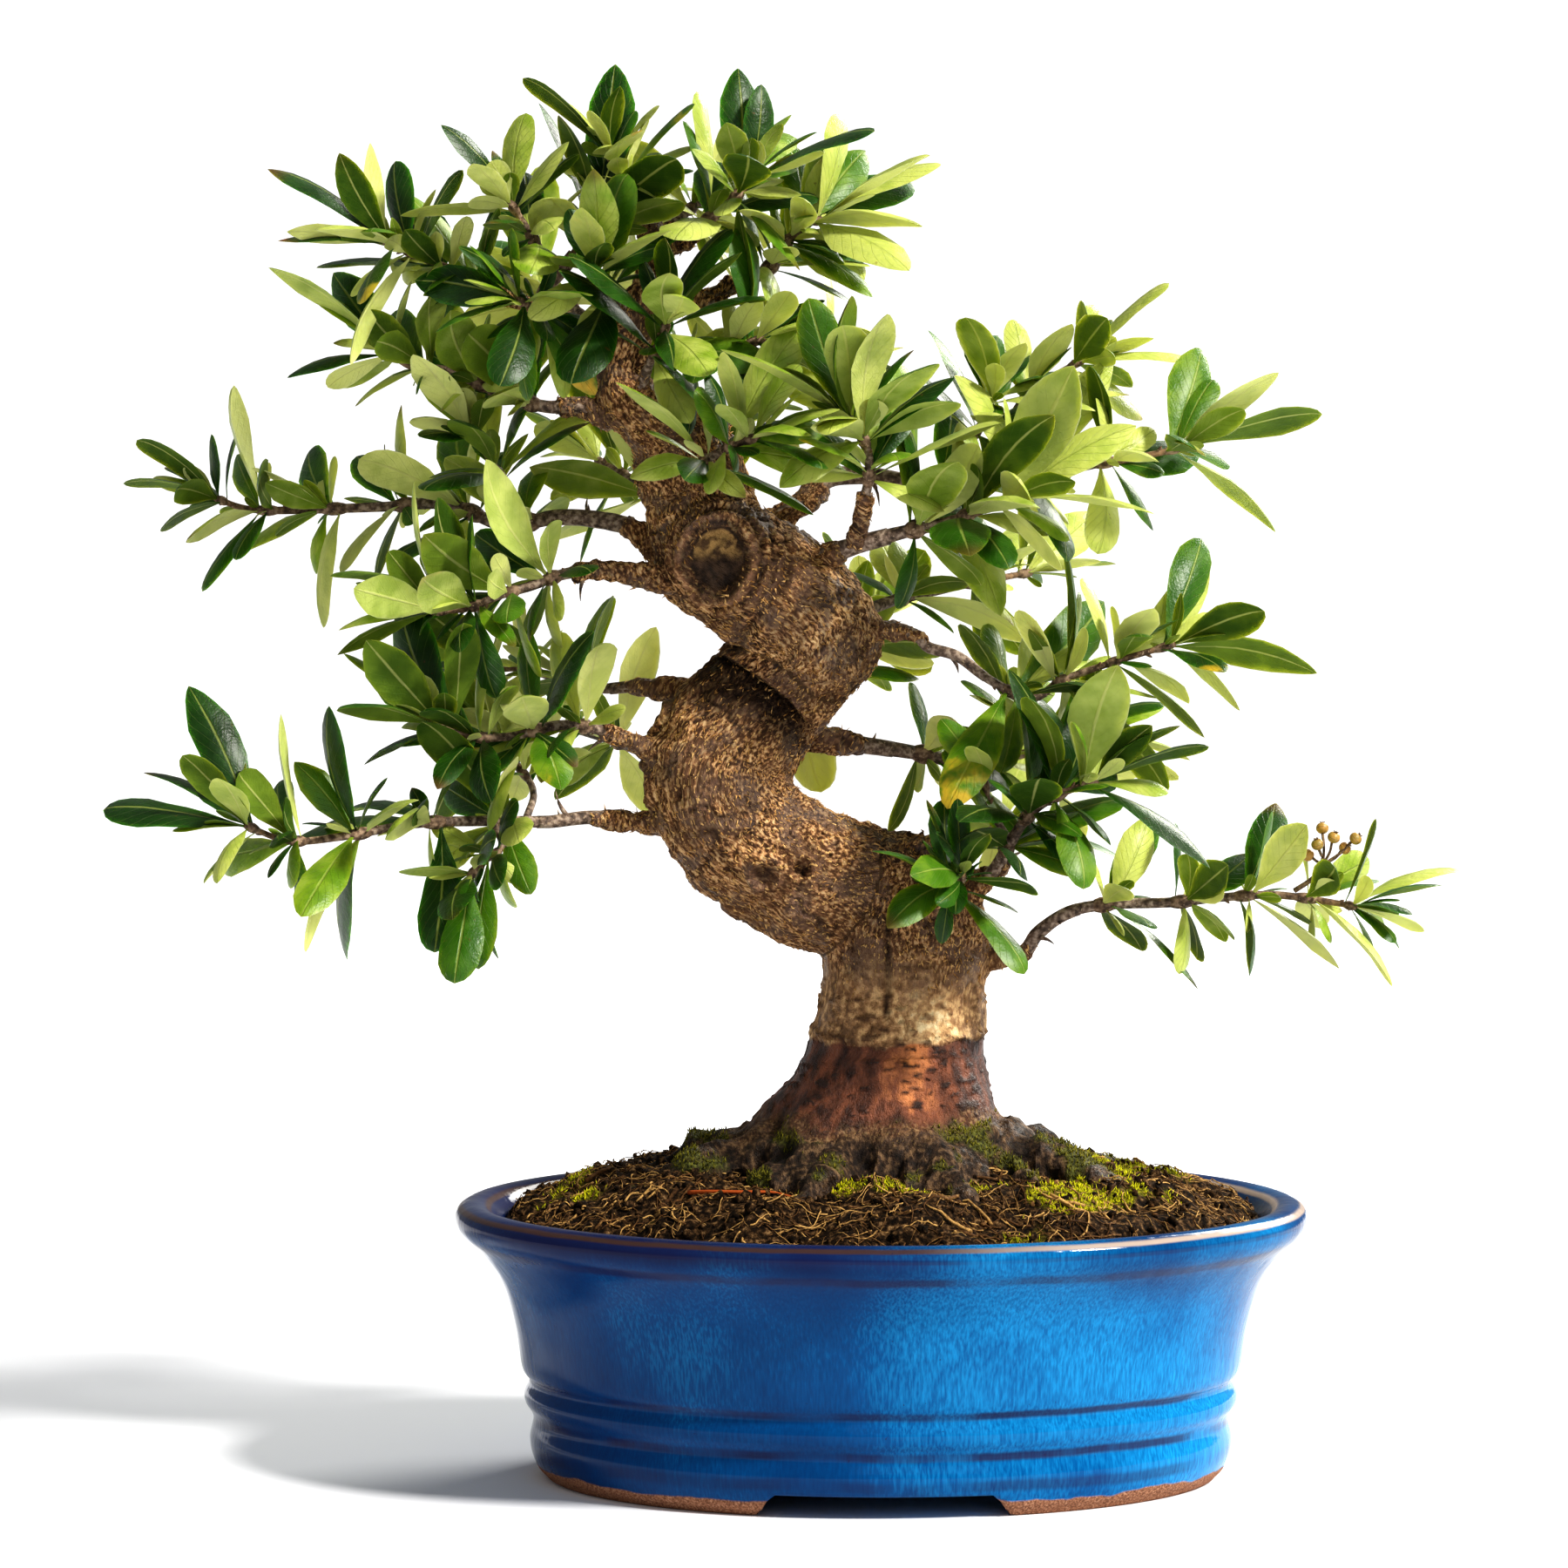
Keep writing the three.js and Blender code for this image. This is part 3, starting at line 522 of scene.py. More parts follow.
def bump(tree, shader, height, depth_mm):
    """Feeds a height from 0 to 1 to the shader's normal, as a bump that deep."""
    inputs = {"Height": height, "Distance": depth_mm * MM, "Strength": 1.0}
    tree.links.new(add_node(tree, "Bump", inputs).outputs["Normal"], shader.inputs["Normal"])


# %% [markdown]
# ## The pot
# The pot is one piece of stoneware, oval and flared, with a rounded lip and two wide feet. A half cut turned
# about the upright axis and drawn in to an oval gives it its form. The real glaze has run: it is thin and
# brown on the lip's edge, gathers dark in the throwing rings, and stops a few millimetres above the ground.

# %% The half cut and its feet
POT_DEPTH_SHARE = 0.8
POT_UNDERSIDE = 8.5
POT_FLOOR = 17
POT_BASE = [
    (60, POT_UNDERSIDE), (97.2, POT_UNDERSIDE), (98.2, 7.6), (100.4, 0.9), (101.4, 0), (114.6, 0),
    (115.9, 0.6),
]
POT_WALL = [
    (116.4, 1.2), (119, 4), (121, 9), (121.5, 14), (120.3, 20), (121, 23), (122.9, 26), (123.2, 29.5),
    (121.6, 34), (124.2, 38.5), (126.4, 52), (131, 67.5), (138.4, 78.5), (145.2, 85), (147.5, 89.5),
    (146.6, 93.2), (143, 95.3), (138.6, 95.2), (134.6, 92.8), (130, 86), (119, 64), (112, 26), (110, 20),
    (106, 17.2), (100, POT_FLOOR),
]
FOOT_GAP_TOP = 37
FOOT_GAP_GROUND = 43.4
FOOT_GAP_HEIGHT = 8
POT_TURN = 264


def pot_skin():
    """The half cut (r, z) at each angle a: x = r cos a, y = 0.8 r sin a. Between the feet, what is lower
    than the gap is lifted to it, and the radius swells and shrinks by a third of a millimetre, as thrown
    clay does."""
    wall = line_at(POT_WALL, np.linspace(0, 1, 110))
    cut = np.concatenate([POT_BASE, wall, [(POT_BASE[0][0], POT_FLOOR)]])
    angle = full_turn(POT_TURN)
    radius, height = cut[:, :1], np.broadcast_to(cut[:, 1:], (len(cut), POT_TURN))
    x = radius * np.cos(angle)
    y = POT_DEPTH_SHARE * radius * np.sin(angle)
    spots = np.stack([x, y, height], axis=-1)
    swell = 1 + 0.35 * rough(spots.reshape(-1, 3), 42, 2, 5).reshape(x.shape) / 120
    lift = FOOT_GAP_HEIGHT * eased(FOOT_GAP_GROUND - np.abs(x), 0, FOOT_GAP_GROUND - FOOT_GAP_TOP)
    rings = np.stack([x * swell, y * swell, np.maximum(height, lift)], axis=-1)
    return loft(rings[None], tips=np.array([[(0, 0, POT_UNDERSIDE), (0, 0, POT_FLOOR)]]))


pot_form = pot_skin()
print("pot points:", len(pot_form.points), "highest, mm:", round(pot_form.points[:, 2].max(), 1))

# %% [markdown]
# The half cut starts under the pot's middle, runs out over the foot and up the wall, and comes back down
# inside, so its rings turn the right way round for faces that point outwards. Two round drain holes go
# through the floor, cut by a Boolean modifier.

# %% Drain holes
DRAIN_HOLE_RADIUS = 10
DRAIN_HOLE_X = 58


def drain_cutters():
    """Two upright rods through the floor."""
    rods = [
        tube([(x, 0, 0), (x, 0, 10), (x, 0, 24)], [0.0, 1.0], [DRAIN_HOLE_RADIUS] * 2, 40)
        for x in (-DRAIN_HOLE_X, DRAIN_HOLE_X)
    ]
    cutter = bpy.data.objects.new("drain_cutter", mesh_of("drain_cutter", gather(rods)))
    bpy.context.scene.collection.objects.link(cutter)
    return cutter


def finished_mesh(mesh, add_modifiers):
    """The mesh after modifiers, through an object that is then removed."""
    worker = bpy.data.objects.new("worker", mesh)
    bpy.context.scene.collection.objects.link(worker)
    add_modifiers(worker.modifiers)
    graph = bpy.context.evaluated_depsgraph_get()
    done = bpy.data.meshes.new_from_object(worker.evaluated_get(graph), depsgraph=graph)
    bpy.data.objects.remove(worker)
    return done


cutter = drain_cutters()


def bore(modifiers):
    boolean = modifiers.new("drain", "BOOLEAN")
    boolean.operation = "DIFFERENCE"
    boolean.object = cutter


pot_mesh = finished_mesh(mesh_of("pot_body", pot_form), bore)
bpy.data.objects.remove(cutter)
print("pot faces after the holes:", len(pot_mesh.polygons))

# %% [markdown]
# The glaze is a ramp from cobalt through azure to sky blue, driven by long upright streaks and slow clouds.
# It is paler towards the right and darker towards the left: partly the glaze's own colour, partly painted
# light from the right and painted shade on the left. It is also darker under the lip. Bands add the dark
# lines in the rings and the lip's edge. The edge is brown on the left, with painted shade over the left of
# the rim, and pale on the right, partly wear and partly a painted highlight. Below the glaze line, and under
# the foot, the finish is bare brown clay.

# %% Running blue glaze over bare clay
COBALT = (0.001, 0.020, 0.095)
AZURE = (0.0, 0.074, 0.235)
SKY = (0.010, 0.30, 0.64)
INK = (0.012, 0.010, 0.05)
LIP_BROWN = (0.060, 0.030, 0.022)
LIP_WORN_AND_LIT = (0.46, 0.36, 0.29)
CLAY_SHADES = [(0.0, (0.16, 0.07, 0.04)), (0.6, (0.36, 0.17, 0.095)), (1.0, (0.5, 0.28, 0.17))]
GLAZE_LINE = 5.2
# Each dark line's height, half width, waver, the waver's scale, and strength.
DARK_LINES = [
    (35.2, 1.9, 2.0, 0.03, 0.8), (21.3, 2.2, 3.0, 0.025, 0.85), (11.0, 3.0, 5.0, 0.02, 0.5),
    (83.0, 2.2, 3.0, 0.03, 0.7), (90.5, 1.2, 1.2, 0.02, 0.5),
]


def glaze_finish():
    material, tree, shader = new_finish(
        "running_glaze", coat_roughness=0.03, coat_ior=1.4, specular_ior_level=0.06
    )
    place = place_in_mm(tree)
    runs = place_in_mm(tree, (1, 1, 0.1))
    parts = add_node(tree, "SeparateXYZ", {0: place})
    across, height = parts.outputs["X"], parts.outputs["Z"]
    streak = mottled(tree, runs, scale=1.3, detail=6.0, low=0.25, high=0.78)
    cloud = mottled(tree, place, scale=0.012, detail=3.0, low=0.3, high=0.7)
    patchy = plus(tree, times(tree, cloud, 0.28), 0.10)
    # Painted light: the glaze grows paler towards the right, where the light comes from, partly its own
    # colour.
    right_tone_and_light = soft_step(tree, across, -120, 120)
    glow = plus(tree, times(tree, streak, patchy), times(tree, cloud, 0.26))
    glow = plus(tree, glow, plus(tree, times(tree, right_tone_and_light, 0.22), 0.07))
    colour = shades(tree, glow, (0.0, COBALT), (0.4, AZURE), (1.0, SKY))
    upper = times(tree, soft_step(tree, height, 64, 88), minus(tree, 0.95, cloud))
    colour = mixed(tree, upper, colour, COBALT)
    # Painted shade: the left side, and the left of the rim, are darkened towards cobalt and ink.
    colour = stained(tree, colour, soft_step(tree, across, 0, -130), 0.45, COBALT)
    left_rim_shade = times(tree, soft_step(tree, across, 60, -60), soft_step(tree, height, 84, 91))
    colour = stained(tree, colour, left_rim_shade, 0.7, INK)
    for level, half_width, waver, scale, strength in DARK_LINES:
        line = effect(
            tree, BAND, place=place, height=level, half_width=half_width, waver=waver, waver_scale=scale
        )
        broken = mottled(tree, runs, scale=0.03, detail=4.0, low=0.3, high=0.62)
        colour = stained(tree, colour, times(tree, line, broken), strength, INK)
    # The lip's edge is brown on the left and pale on the right: partly wear, partly a painted highlight on
    # the lit side.
    lip = effect(tree, BAND, place=place, height=93.9, half_width=1.1, waver=0.7, waver_scale=0.05)
    worn = mixed(tree, soft_step(tree, across, 5, 75), LIP_BROWN, LIP_WORN_AND_LIT)
    colour = stained(tree, colour, lip, 0.9, worn)
    specks = mottled(tree, place, scale=0.55, detail=2.0, low=0.73, high=0.78)
    colour = stained(tree, colour, specks, 0.6, INK)
    rim_waver = add_node(tree, "TexNoise", {"Vector": place, "Scale": 0.06})
    edge = plus(tree, height, times(tree, rim_waver.outputs[0], -4.5))
    glazed = soft_step(tree, edge, GLAZE_LINE - 2.6, GLAZE_LINE - 1.7)
    grain = mottled(tree, place, scale=1.4, detail=5.0, low=0.3, high=0.75)
    clay = shades(tree, grain, *CLAY_SHADES)
    tree.links.new(mixed(tree, glazed, clay, colour), shader.inputs["Base Color"])
    gloss = between(tree, glazed, 0.8, 0.12)
    tree.links.new(plus(tree, gloss, times(tree, lip, 0.1)), shader.inputs["Roughness"])
    tree.links.new(times(tree, glazed, 0.24), shader.inputs["Coat Weight"])
    ripple = effect(tree, RELIEF, place=runs, scale=0.12, fine_share=0.12)
    grit = effect(tree, RELIEF, place=place, scale=0.9, fine_share=0.6)
    bare = minus(tree, 1.0, glazed)
    bump(tree, shader, plus(tree, ripple, times(tree, grit, bare)), 0.35)
    return material


add_piece("pot_glazed", pot_mesh, [glaze_finish()], ["pot"])

# %% [markdown]
# ## Drain screens
# A square of plastic mesh lies over each drain hole and keeps the soil in. Each strand is a thin tube that
# weaves over and under the ones that cross it.

# %% Weave the screens
SCREEN_SIDE = 32
SCREEN_LEVEL = 17.95
STRANDS = 14
STRAND_RADIUS = 0.3


def screen_skin(centre_x):
    """Strands both ways. Number n runs at its own offset, at height 0.25 cos(pi (place / pitch + n))."""
    run = np.linspace(-SCREEN_SIDE / 2, SCREEN_SIDE / 2, 2 * STRANDS + 1)
    pitch = SCREEN_SIDE / STRANDS
    number = np.arange(STRANDS)
    offset = (number[:, None] + 0.5) * pitch - SCREEN_SIDE / 2 + 0 * run
    wave = 0.25 * np.cos(math.pi * run / pitch + math.pi * number[:, None])
    run = np.broadcast_to(run, offset.shape)
    angle = full_turn(5)
    ring = STRAND_RADIUS * np.stack([np.cos(angle), np.sin(angle)], axis=-1)
    strands = []
    for across_x in (True, False):
        rings = np.zeros((*run.shape, 5, 3))
        way, side, sign = (0, 1, 1) if across_x else (1, 0, -1)
        rings[..., way] = run[..., None]
        rings[..., side] = offset[..., None] + sign * ring[:, 0]
        rings[..., 2] = SCREEN_LEVEL + sign * wave[..., None] + ring[:, 1]
        strands.append(loft(rings + (centre_x, 0, 0)))
    return gather(strands)


def screen_finish():
    material, tree, shader = new_finish("screen_mesh", roughness=0.6)
    scuff = mottled(tree, place_in_mm(tree), scale=0.4, detail=3.0, low=0.4, high=0.7)
    tree.links.new(mixed(tree, scuff, (0.02, 0.02, 0.02), (0.07, 0.065, 0.06)), shader.inputs["Base Color"])
    return material


screen_material = screen_finish()
for side, centre_x in (("left", -DRAIN_HOLE_X), ("right", DRAIN_HOLE_X)):
    mesh = mesh_of("screen", screen_skin(centre_x))
    add_piece(f"drain_mesh_{side}", mesh, [screen_material], [f"drain_screen_{side}"])

# %% [markdown]
# ## The trunk
# The trunk is one piece of wood: a flare of surface roots, two bends that double back, and a thin leader. It
# is built as three stretches of rings, which overlap where the trunk folds, and eight roots that run out
# from the flare. A voxel remesh melts them, with a collar where each limb leaves, into one skin of small
# even faces, and that skin then takes the bark's relief.

# %% The three stretches: x, y, z and radius
ROOT_CROWN = [
    (3, 0, 80, 36), (3, 0, 94, 48), (3, 0, 105, 52), (3, 0, 112, 49), (3, 0, 118, 45), (3, 0, 125, 40.5),
    (4, 0, 134, 35.5), (5, 0, 145, 31.5), (6, 0, 158, 28.6), (7, 0, 174, 27.8), (8, 1, 189, 28.5),
    (10, 2, 201, 26.5), (13, 3, 212, 20), (15, 3, 219, 11),
]
LOWER_BEND = [
    (20, 2, 190, 14), (10, 2, 196, 22), (-6, 1, 201, 24), (-22, 0, 207, 23.5), (-36, -1, 214, 23),
    (-47, -2, 223, 23.5), (-54, -2, 234, 25), (-55.5, -1, 246, 25), (-50, 1, 258, 23.5),
    (-41, 4, 269, 21.5), (-31, 6, 278, 20.5), (-22, 5, 286, 19.5), (-16, 2, 294, 14),
]
UPPER_BEND = [
    (-28, 6, 280, 14), (-21, 0, 287, 19.5), (-24, -5, 297, 20.5), (-35, -8, 306, 20.5), (-47, -8, 313, 21),
    (-56, -6, 320, 21.8), (-60, -3, 329, 19.5), (-63, 0, 338, 18), (-66, 1, 347, 17.5), (-69, 1, 356, 15.5),
    (-77, 0, 364, 12.5), (-86, 0, 372, 10.5), (-90, 0, 381, 8.8), (-88, 0, 392, 7.2), (-83, 2, 404, 6),
    (-79, 4, 417, 5), (-80, 2, 431, 4), (-82, 0, 444, 2.6),
]
ROOTS = [(0.3, 0.3), (1.5, 0.3), (2.5, 0.34), (3.5, 0.4), (4.72, 0.56), (5.6, 0.4)]
ROOT_HALF_WIDTH = 0.34
ROOT_TOP = 138
ROOT_FULL = 108


def root_ridges(angle, number, height):
    """Each root is a bell curve round its own angle, and all of them rise from nothing at the root top."""
    rise = np.clip((ROOT_TOP - height) / (ROOT_TOP - ROOT_FULL), 0, 1) ** 2
    away = [np.arctan2(np.sin(angle - root), np.cos(angle - root)) for root, _ in ROOTS]
    ridges = [reach * np.exp(-((a / ROOT_HALF_WIDTH) ** 2)) for a, (_, reach) in zip(away, ROOTS)]
    return 1 + rise * (np.max(ridges, axis=0) - 0.1) + 0.02 * np.sin(3 * angle + number)


def bark_lumps(angle, number, _):
    """Two slow waves round the trunk that turn as they rise."""
    return 1 + 0.035 * np.sin(2 * angle + 1.3 * number) + 0.025 * np.sin(5 * angle - 0.8 * number)


# %% Rings of a stretch
def follow(stations, count):
    """Centres, radii, and the along, front and right directions at even shares of a stretch."""
    share = np.linspace(0, 1, count)
    smooth = line_at(stations, share)
    along = direction_at(np.asarray(stations, float)[:, :3], share)
    front = unit(FRONT - along * (along @ FRONT)[:, None])
    return smooth[:, :3], smooth[:, 3], along, front, np.cross(along, front)


def stretch_skin(stations, lumps, count=90, sides=56):
    """centre + radius x lumps x (front cos a + right sin a), with angle 0 to the front."""
    centres, radius, _, front, right = follow(stations, count)
    angle = full_turn(sides)
    number = np.linspace(0, len(stations) - 1, count)[:, None]
    reach = radius[:, None] * lumps(angle[None], number, centres[:, 2:])
    return loft((centres[:, None] + spokes(front, right, angle) * reach[..., None])[None])


# Roots that run out from the flare and sink into the soil: a path, and the radius at either end.
SURFACE_ROOTS = [
    ([(-22, -12, 117), (-40, -18, 113), (-56, -24, 109.5), (-70, -26, 105), (-84, -34, 99)], 11, 4),
    ([(-26, 4, 117), (-46, 6, 113), (-64, 10, 109), (-80, 8, 103)], 10, 4),
    ([(-6, -22, 116), (-14, -40, 111), (-20, -56, 107), (-30, -66, 101)], 9, 3.5),
    ([(12, -22, 116), (18, -40, 112), (20, -54, 108), (28, -66, 102)], 10, 4),
    ([(26, -12, 116), (44, -20, 112), (60, -22, 108), (74, -28, 104), (88, -30, 98)], 11, 4),
    ([(28, 8, 116), (48, 14, 112), (66, 16, 107), (82, 24, 101)], 10, 4),
    ([(2, 24, 116), (4, 42, 112), (-4, 58, 107), (-2, 72, 100)], 10, 4),
    ([(38, -22, 112), (46, -34, 109), (52, -46, 105), (62, -54, 99)], 6, 3),
]


def root_skin(path, thick, thin, number):
    """A root thins evenly along its line, and its radius swells and shrinks by up to 23%."""
    share = np.linspace(0, 1, 30)
    angle = full_turn(16)
    lumps = 1 + 0.13 * np.sin(3 * angle + number) + 0.1 * np.sin(11 * share + 2 * number)[:, None]
    return tube(path, share, thick + (thin - thick) * share, 16, bumps=lumps)


STRETCHES = [(ROOT_CROWN, root_ridges), (LOWER_BEND, bark_lumps), (UPPER_BEND, bark_lumps)]
trunk_skins = [stretch_skin(stations, lumps) for stations, lumps in STRETCHES]
trunk_skins += [root_skin(*root, number) for number, root in enumerate(SURFACE_ROOTS)]
print("trunk stretches:", [len(skin.points) for skin in trunk_skins])

# %% [markdown]
# ## The boughs
# Each bough is a given path that starts inside the trunk. Its first share is bare wood, and the rest
# carries leaves in rosettes. The list says how thick it is, how many rosettes it bears, how long its leaves
# are, where a thorn stands and where it forks. The same list makes the limbs, the twigs and the leaves.

# %% The bough list
BOUGHS = []


def fork(at, rosettes, size, path):
    """A side twig that leaves its bough at a share of it."""
    return {"at": at, "rosettes": rosettes, "size": size, "path": path}


def grow(name, girth, bare, rosettes, size, path, thorn=None, forks=()):
    """Adds a bough: radius at either end, bare share, rosettes, leaf length, path, thorn and forks."""
    BOUGHS.append({
        "name": name, "girth": girth, "bare": bare, "rosettes": rosettes, "size": size, "path": path,
        "thorn": thorn, "forks": forks,
    })


grow("left_low", (2.6, 1.3), 0.3, 4, 40, thorn=0.22,
     path=[(-66, 0, 225), (-97, -6, 229), (-115, -12, 228), (-135, -20, 229), (-159, -30, 229),
           (-182, -42, 226), (-201, -50, 225), (-216, -56, 231)],
     forks=[fork(0.34, 1, 34, [(-120, 0, 238), (-128, 6, 249), (-134, 9, 257)]),
            fork(0.42, 1, 36, [(-130, -26, 221), (-137, -33, 216), (-141, -38, 211)])])
grow("left_mid", (2.6, 1.3), 0.26, 3, 40, thorn=0.2,
     path=[(-66, -4, 247), (-89, -12, 257), (-100, -18, 261), (-112, -24, 262), (-126, -30, 259),
           (-140, -34, 259), (-151, -36, 263)])
grow("left_back", (2.4, 1.2), 0.34, 2, 36,
     path=[(-52, 12, 270), (-83, 20, 272), (-97, 26, 271), (-112, 32, 274), (-126, 38, 277),
           (-141, 44, 275)])
grow("left_long", (3.6, 1.2), 0.32, 5, 35, thorn=0.26,
     path=[(-66, 4, 312), (-83, 8, 326), (-95, 12, 330), (-112, 16, 331), (-130, 20, 328),
           (-150, 24, 335), (-173, 26, 334), (-197, 28, 333), (-218, 28, 333), (-231, 28, 337)],
     forks=[fork(0.44, 1, 38, [(-128, 10, 340), (-135, 5, 352), (-141, 0, 361)])])
grow("left_drop", (2.5, 1.3), 0.3, 3, 43, thorn=0.24,
     path=[(-68, -12, 309), (-94, -18, 315), (-108, -24, 314), (-120, -28, 310), (-131, -32, 307),
           (-141, -36, 303), (-154, -38, 302)])
grow("left_upper", (2.8, 1.2), 0.24, 3, 37,
     path=[(-78, 0, 358), (-101, -2, 369), (-115, -4, 370), (-127, -6, 373), (-138, -8, 378),
           (-150, -10, 383), (-161, -10, 384), (-170, -10, 390)])
grow("crook", (4, 1.9), 0.74, 1, 38,
     path=[(-88, 0, 384), (-98, -3, 393), (-110, -6, 398), (-116, -8, 404), (-114, -8, 412),
           (-107, -8, 420), (-100, -8, 430), (-97, -8, 439)])
grow("left_top", (2.3, 1.2), 0.28, 3, 37,
     path=[(-114, -7, 404), (-127, -9, 407), (-136, -11, 411), (-145, -13, 415), (-154, -15, 420),
           (-163, -17, 424), (-170, -17, 427)])
grow("crown_left", (2.2, 1.3), 0.24, 1, 38,
     path=[(-112, -8, 414), (-117, -16, 424), (-122, -22, 433), (-127, -26, 441)])
grow("apex", (2.6, 1.3), 0.22, 1, 33,
     path=[(-81, 0, 432), (-87, -5, 443), (-90, -9, 451), (-94, -11, 458)])
grow("top_mid", (2.8, 1.3), 0.32, 2, 37,
     path=[(-80, 4, 420), (-67, 0, 428), (-57, -5, 436), (-49, -8, 443), (-44, -8, 449)])
grow("right_top", (3.2, 1.3), 0.44, 3, 39,
     path=[(-81, 5, 404), (-64, 9, 406), (-51, 10, 411), (-39, 8, 417), (-33, 4, 426), (-27, 0, 432),
           (-20, 0, 434)])
grow("front_twig", (2, 1.3), 0.3, 1, 43,
     path=[(-84, -6, 371), (-80, -20, 384), (-76, -30, 393), (-73, -36, 400)])
grow("crook_front", (1.9, 1.3), 0.3, 1, 38,
     path=[(-114, -8, 401), (-116, -22, 404), (-119, -34, 405), (-124, -43, 408)])
grow("leader_front", (1.9, 1.3), 0.3, 1, 38,
     path=[(-86, 0, 397), (-91, -16, 406), (-95, -28, 413), (-98, -38, 417)])
grow("leader_right", (2.2, 1.3), 0.26, 2, 37,
     path=[(-86, 0, 386), (-70, -10, 388), (-55, -18, 390), (-40, -22, 394)])
grow("front_upper", (2.2, 1.3), 0.3, 2, 40,
     path=[(-64, -8, 344), (-62, -24, 351), (-54, -37, 357), (-42, -46, 362)])
grow("right_upper", (3.8, 1.2), 0.38, 3, 39, thorn=0.3,
     path=[(-46, 10, 325), (-27, 20, 336), (-18, 24, 344), (-4, 24, 345), (11, 20, 343), (26, 14, 343),
           (41, 8, 344), (56, 4, 346), (73, 0, 350), (89, -4, 353), (103, -4, 356)],
     forks=[fork(0.46, 1, 36, [(30, 9, 356), (35, 5, 366), (38, 0, 373)]),
            fork(0.54, 1, 37, [(41, 14, 359), (49, 17, 372), (58, 18, 379), (71, 18, 386)])])
grow("right_thick", (4, 1.6), 0.44, 2, 43,
     path=[(-44, -8, 307), (-23, -12, 318), (-10, -18, 323), (7, -22, 328), (20, -24, 331),
           (32, -26, 335), (44, -28, 340)])
grow("front_right", (2.2, 1.5), 0.3, 2, 45,
     path=[(-9, -18, 324), (-7, -30, 336), (-5, -38, 347), (-5, -44, 356), (-8, -46, 363), (-13, -48, 369)])
grow("right_thin", (2.2, 1.2), 0.42, 3, 41, thorn=0.3,
     path=[(-14, -6, 293), (9, -10, 293), (16, -12, 288), (26, -14, 285), (37, -16, 277), (51, -18, 271),
           (61, -20, 277), (74, -22, 282), (86, -24, 286), (100, -24, 290)])
grow("right_mid", (3.6, 1.4), 0.34, 3, 38,
     path=[(-38, 12, 256), (-15, 20, 253), (-3, 24, 251), (14, 28, 248), (31, 30, 244), (46, 30, 247),
           (61, 28, 251), (71, 26, 256)],
     forks=[fork(0.68, 0, 34, [(46, 32, 256), (45, 33, 264)])])
grow("right_low", (2.8, 1.2), 0.36, 4, 37, thorn=0.2,
     path=[(26, 0, 180), (47, -2, 181), (54, -4, 189), (64, -6, 196), (77, -8, 199), (100, -10, 200),
           (118, -12, 202), (135, -14, 203), (152, -16, 201), (163, -16, 199)])
grow("right_front", (2.8, 1.4), 0.28, 3, 39, thorn=0.25,
     path=[(26, -12, 198), (38, -24, 212), (43, -32, 222), (50, -38, 233), (60, -42, 240), (73, -44, 245)],
     forks=[fork(0.42, 0, 32, [(37, -34, 234), (34, -34, 246)])])
grow("front_low", (1.8, 1.4), 0.3, 1, 31,
     path=[(15, -18, 198), (20, -34, 205), (25, -48, 210), (27, -57, 214)])
grow("back_low", (2.8, 1.3), 0.3, 1, 37,
     path=[(16, 14, 205), (30, 45, 214), (48, 70, 222), (66, 90, 230)])
grow("back_left_low", (2.6, 1.3), 0.3, 2, 37,
     path=[(-56, 10, 240), (-84, 44, 248), (-106, 68, 253), (-130, 86, 255)])
grow("back_mid", (2.8, 1.3), 0.28, 2, 38,
     path=[(-46, 14, 260), (-30, 46, 272), (-14, 74, 280), (-4, 98, 287)])
grow("back_right", (2.8, 1.3), 0.28, 2, 38,
     path=[(-26, 12, 289), (0, 42, 299), (27, 64, 304), (54, 80, 308)])
grow("back_burl", (2.6, 1.3), 0.28, 2, 38,
     path=[(-58, 10, 322), (-74, 44, 334), (-88, 70, 342), (-100, 92, 347)])
grow("back_upper", (2.6, 1.3), 0.28, 2, 37,
     path=[(-68, 6, 352), (-50, 38, 366), (-32, 62, 374), (-16, 82, 379)])
grow("back_top", (2.2, 1.2), 0.26, 1, 37,
     path=[(-88, 3, 387), (-100, 32, 398), (-112, 54, 405), (-121, 74, 409)])
grow("back_crown", (2.2, 1.3), 0.26, 1, 37,
     path=[(-80, 3, 424), (-66, 26, 437), (-55, 44, 444)])
print("boughs:", len(BOUGHS))

# %% Melt the trunk and the limbs' collars into one skin
VOXEL = 1.22
GOLDEN_ANGLE = math.pi * (3 - math.sqrt(5))


def collar(bough):
    """The swelling at a limb's foot: its radius falls from 1.75 to 1.02 times the limb's within 28 mm."""
    end = min(28 / line_length(bough["path"]), bough["bare"])
    shares = np.linspace(0, end, 12)
    swell = 1.02 + 0.73 * (1 - np.linspace(0, 1, 12)) ** 2
    return tube(bough["path"], shares, bough["girth"][0] * swell, 14)


def melt(modifiers):
    remesh = modifiers.new("melt", "REMESH")
    remesh.mode = "VOXEL"
    remesh.voxel_size = VOXEL * MM
    smooth = modifiers.new("even", "SMOOTH")
    smooth.iterations = 2


raw_trunk = mesh_of("trunk_raw", gather(trunk_skins + [collar(bough) for bough in BOUGHS]))
trunk_mesh = finished_mesh(raw_trunk, melt)
print("trunk faces:", len(trunk_mesh.polygons))


# %% Where each point of the bark lies on the trunk
STRETCH_APART = 400


def read_points(mesh):
    """The mesh's points in millimetres from the pot's middle, and its normals."""
    points, normals = np.zeros((2, len(mesh.vertices), 3), np.float32)
    mesh.vertices.foreach_get("co", points.ravel())
    mesh.vertex_normals.foreach_get("vector", normals.ravel())
    return (points - POT_CENTRE) / MM, normals.astype(float)


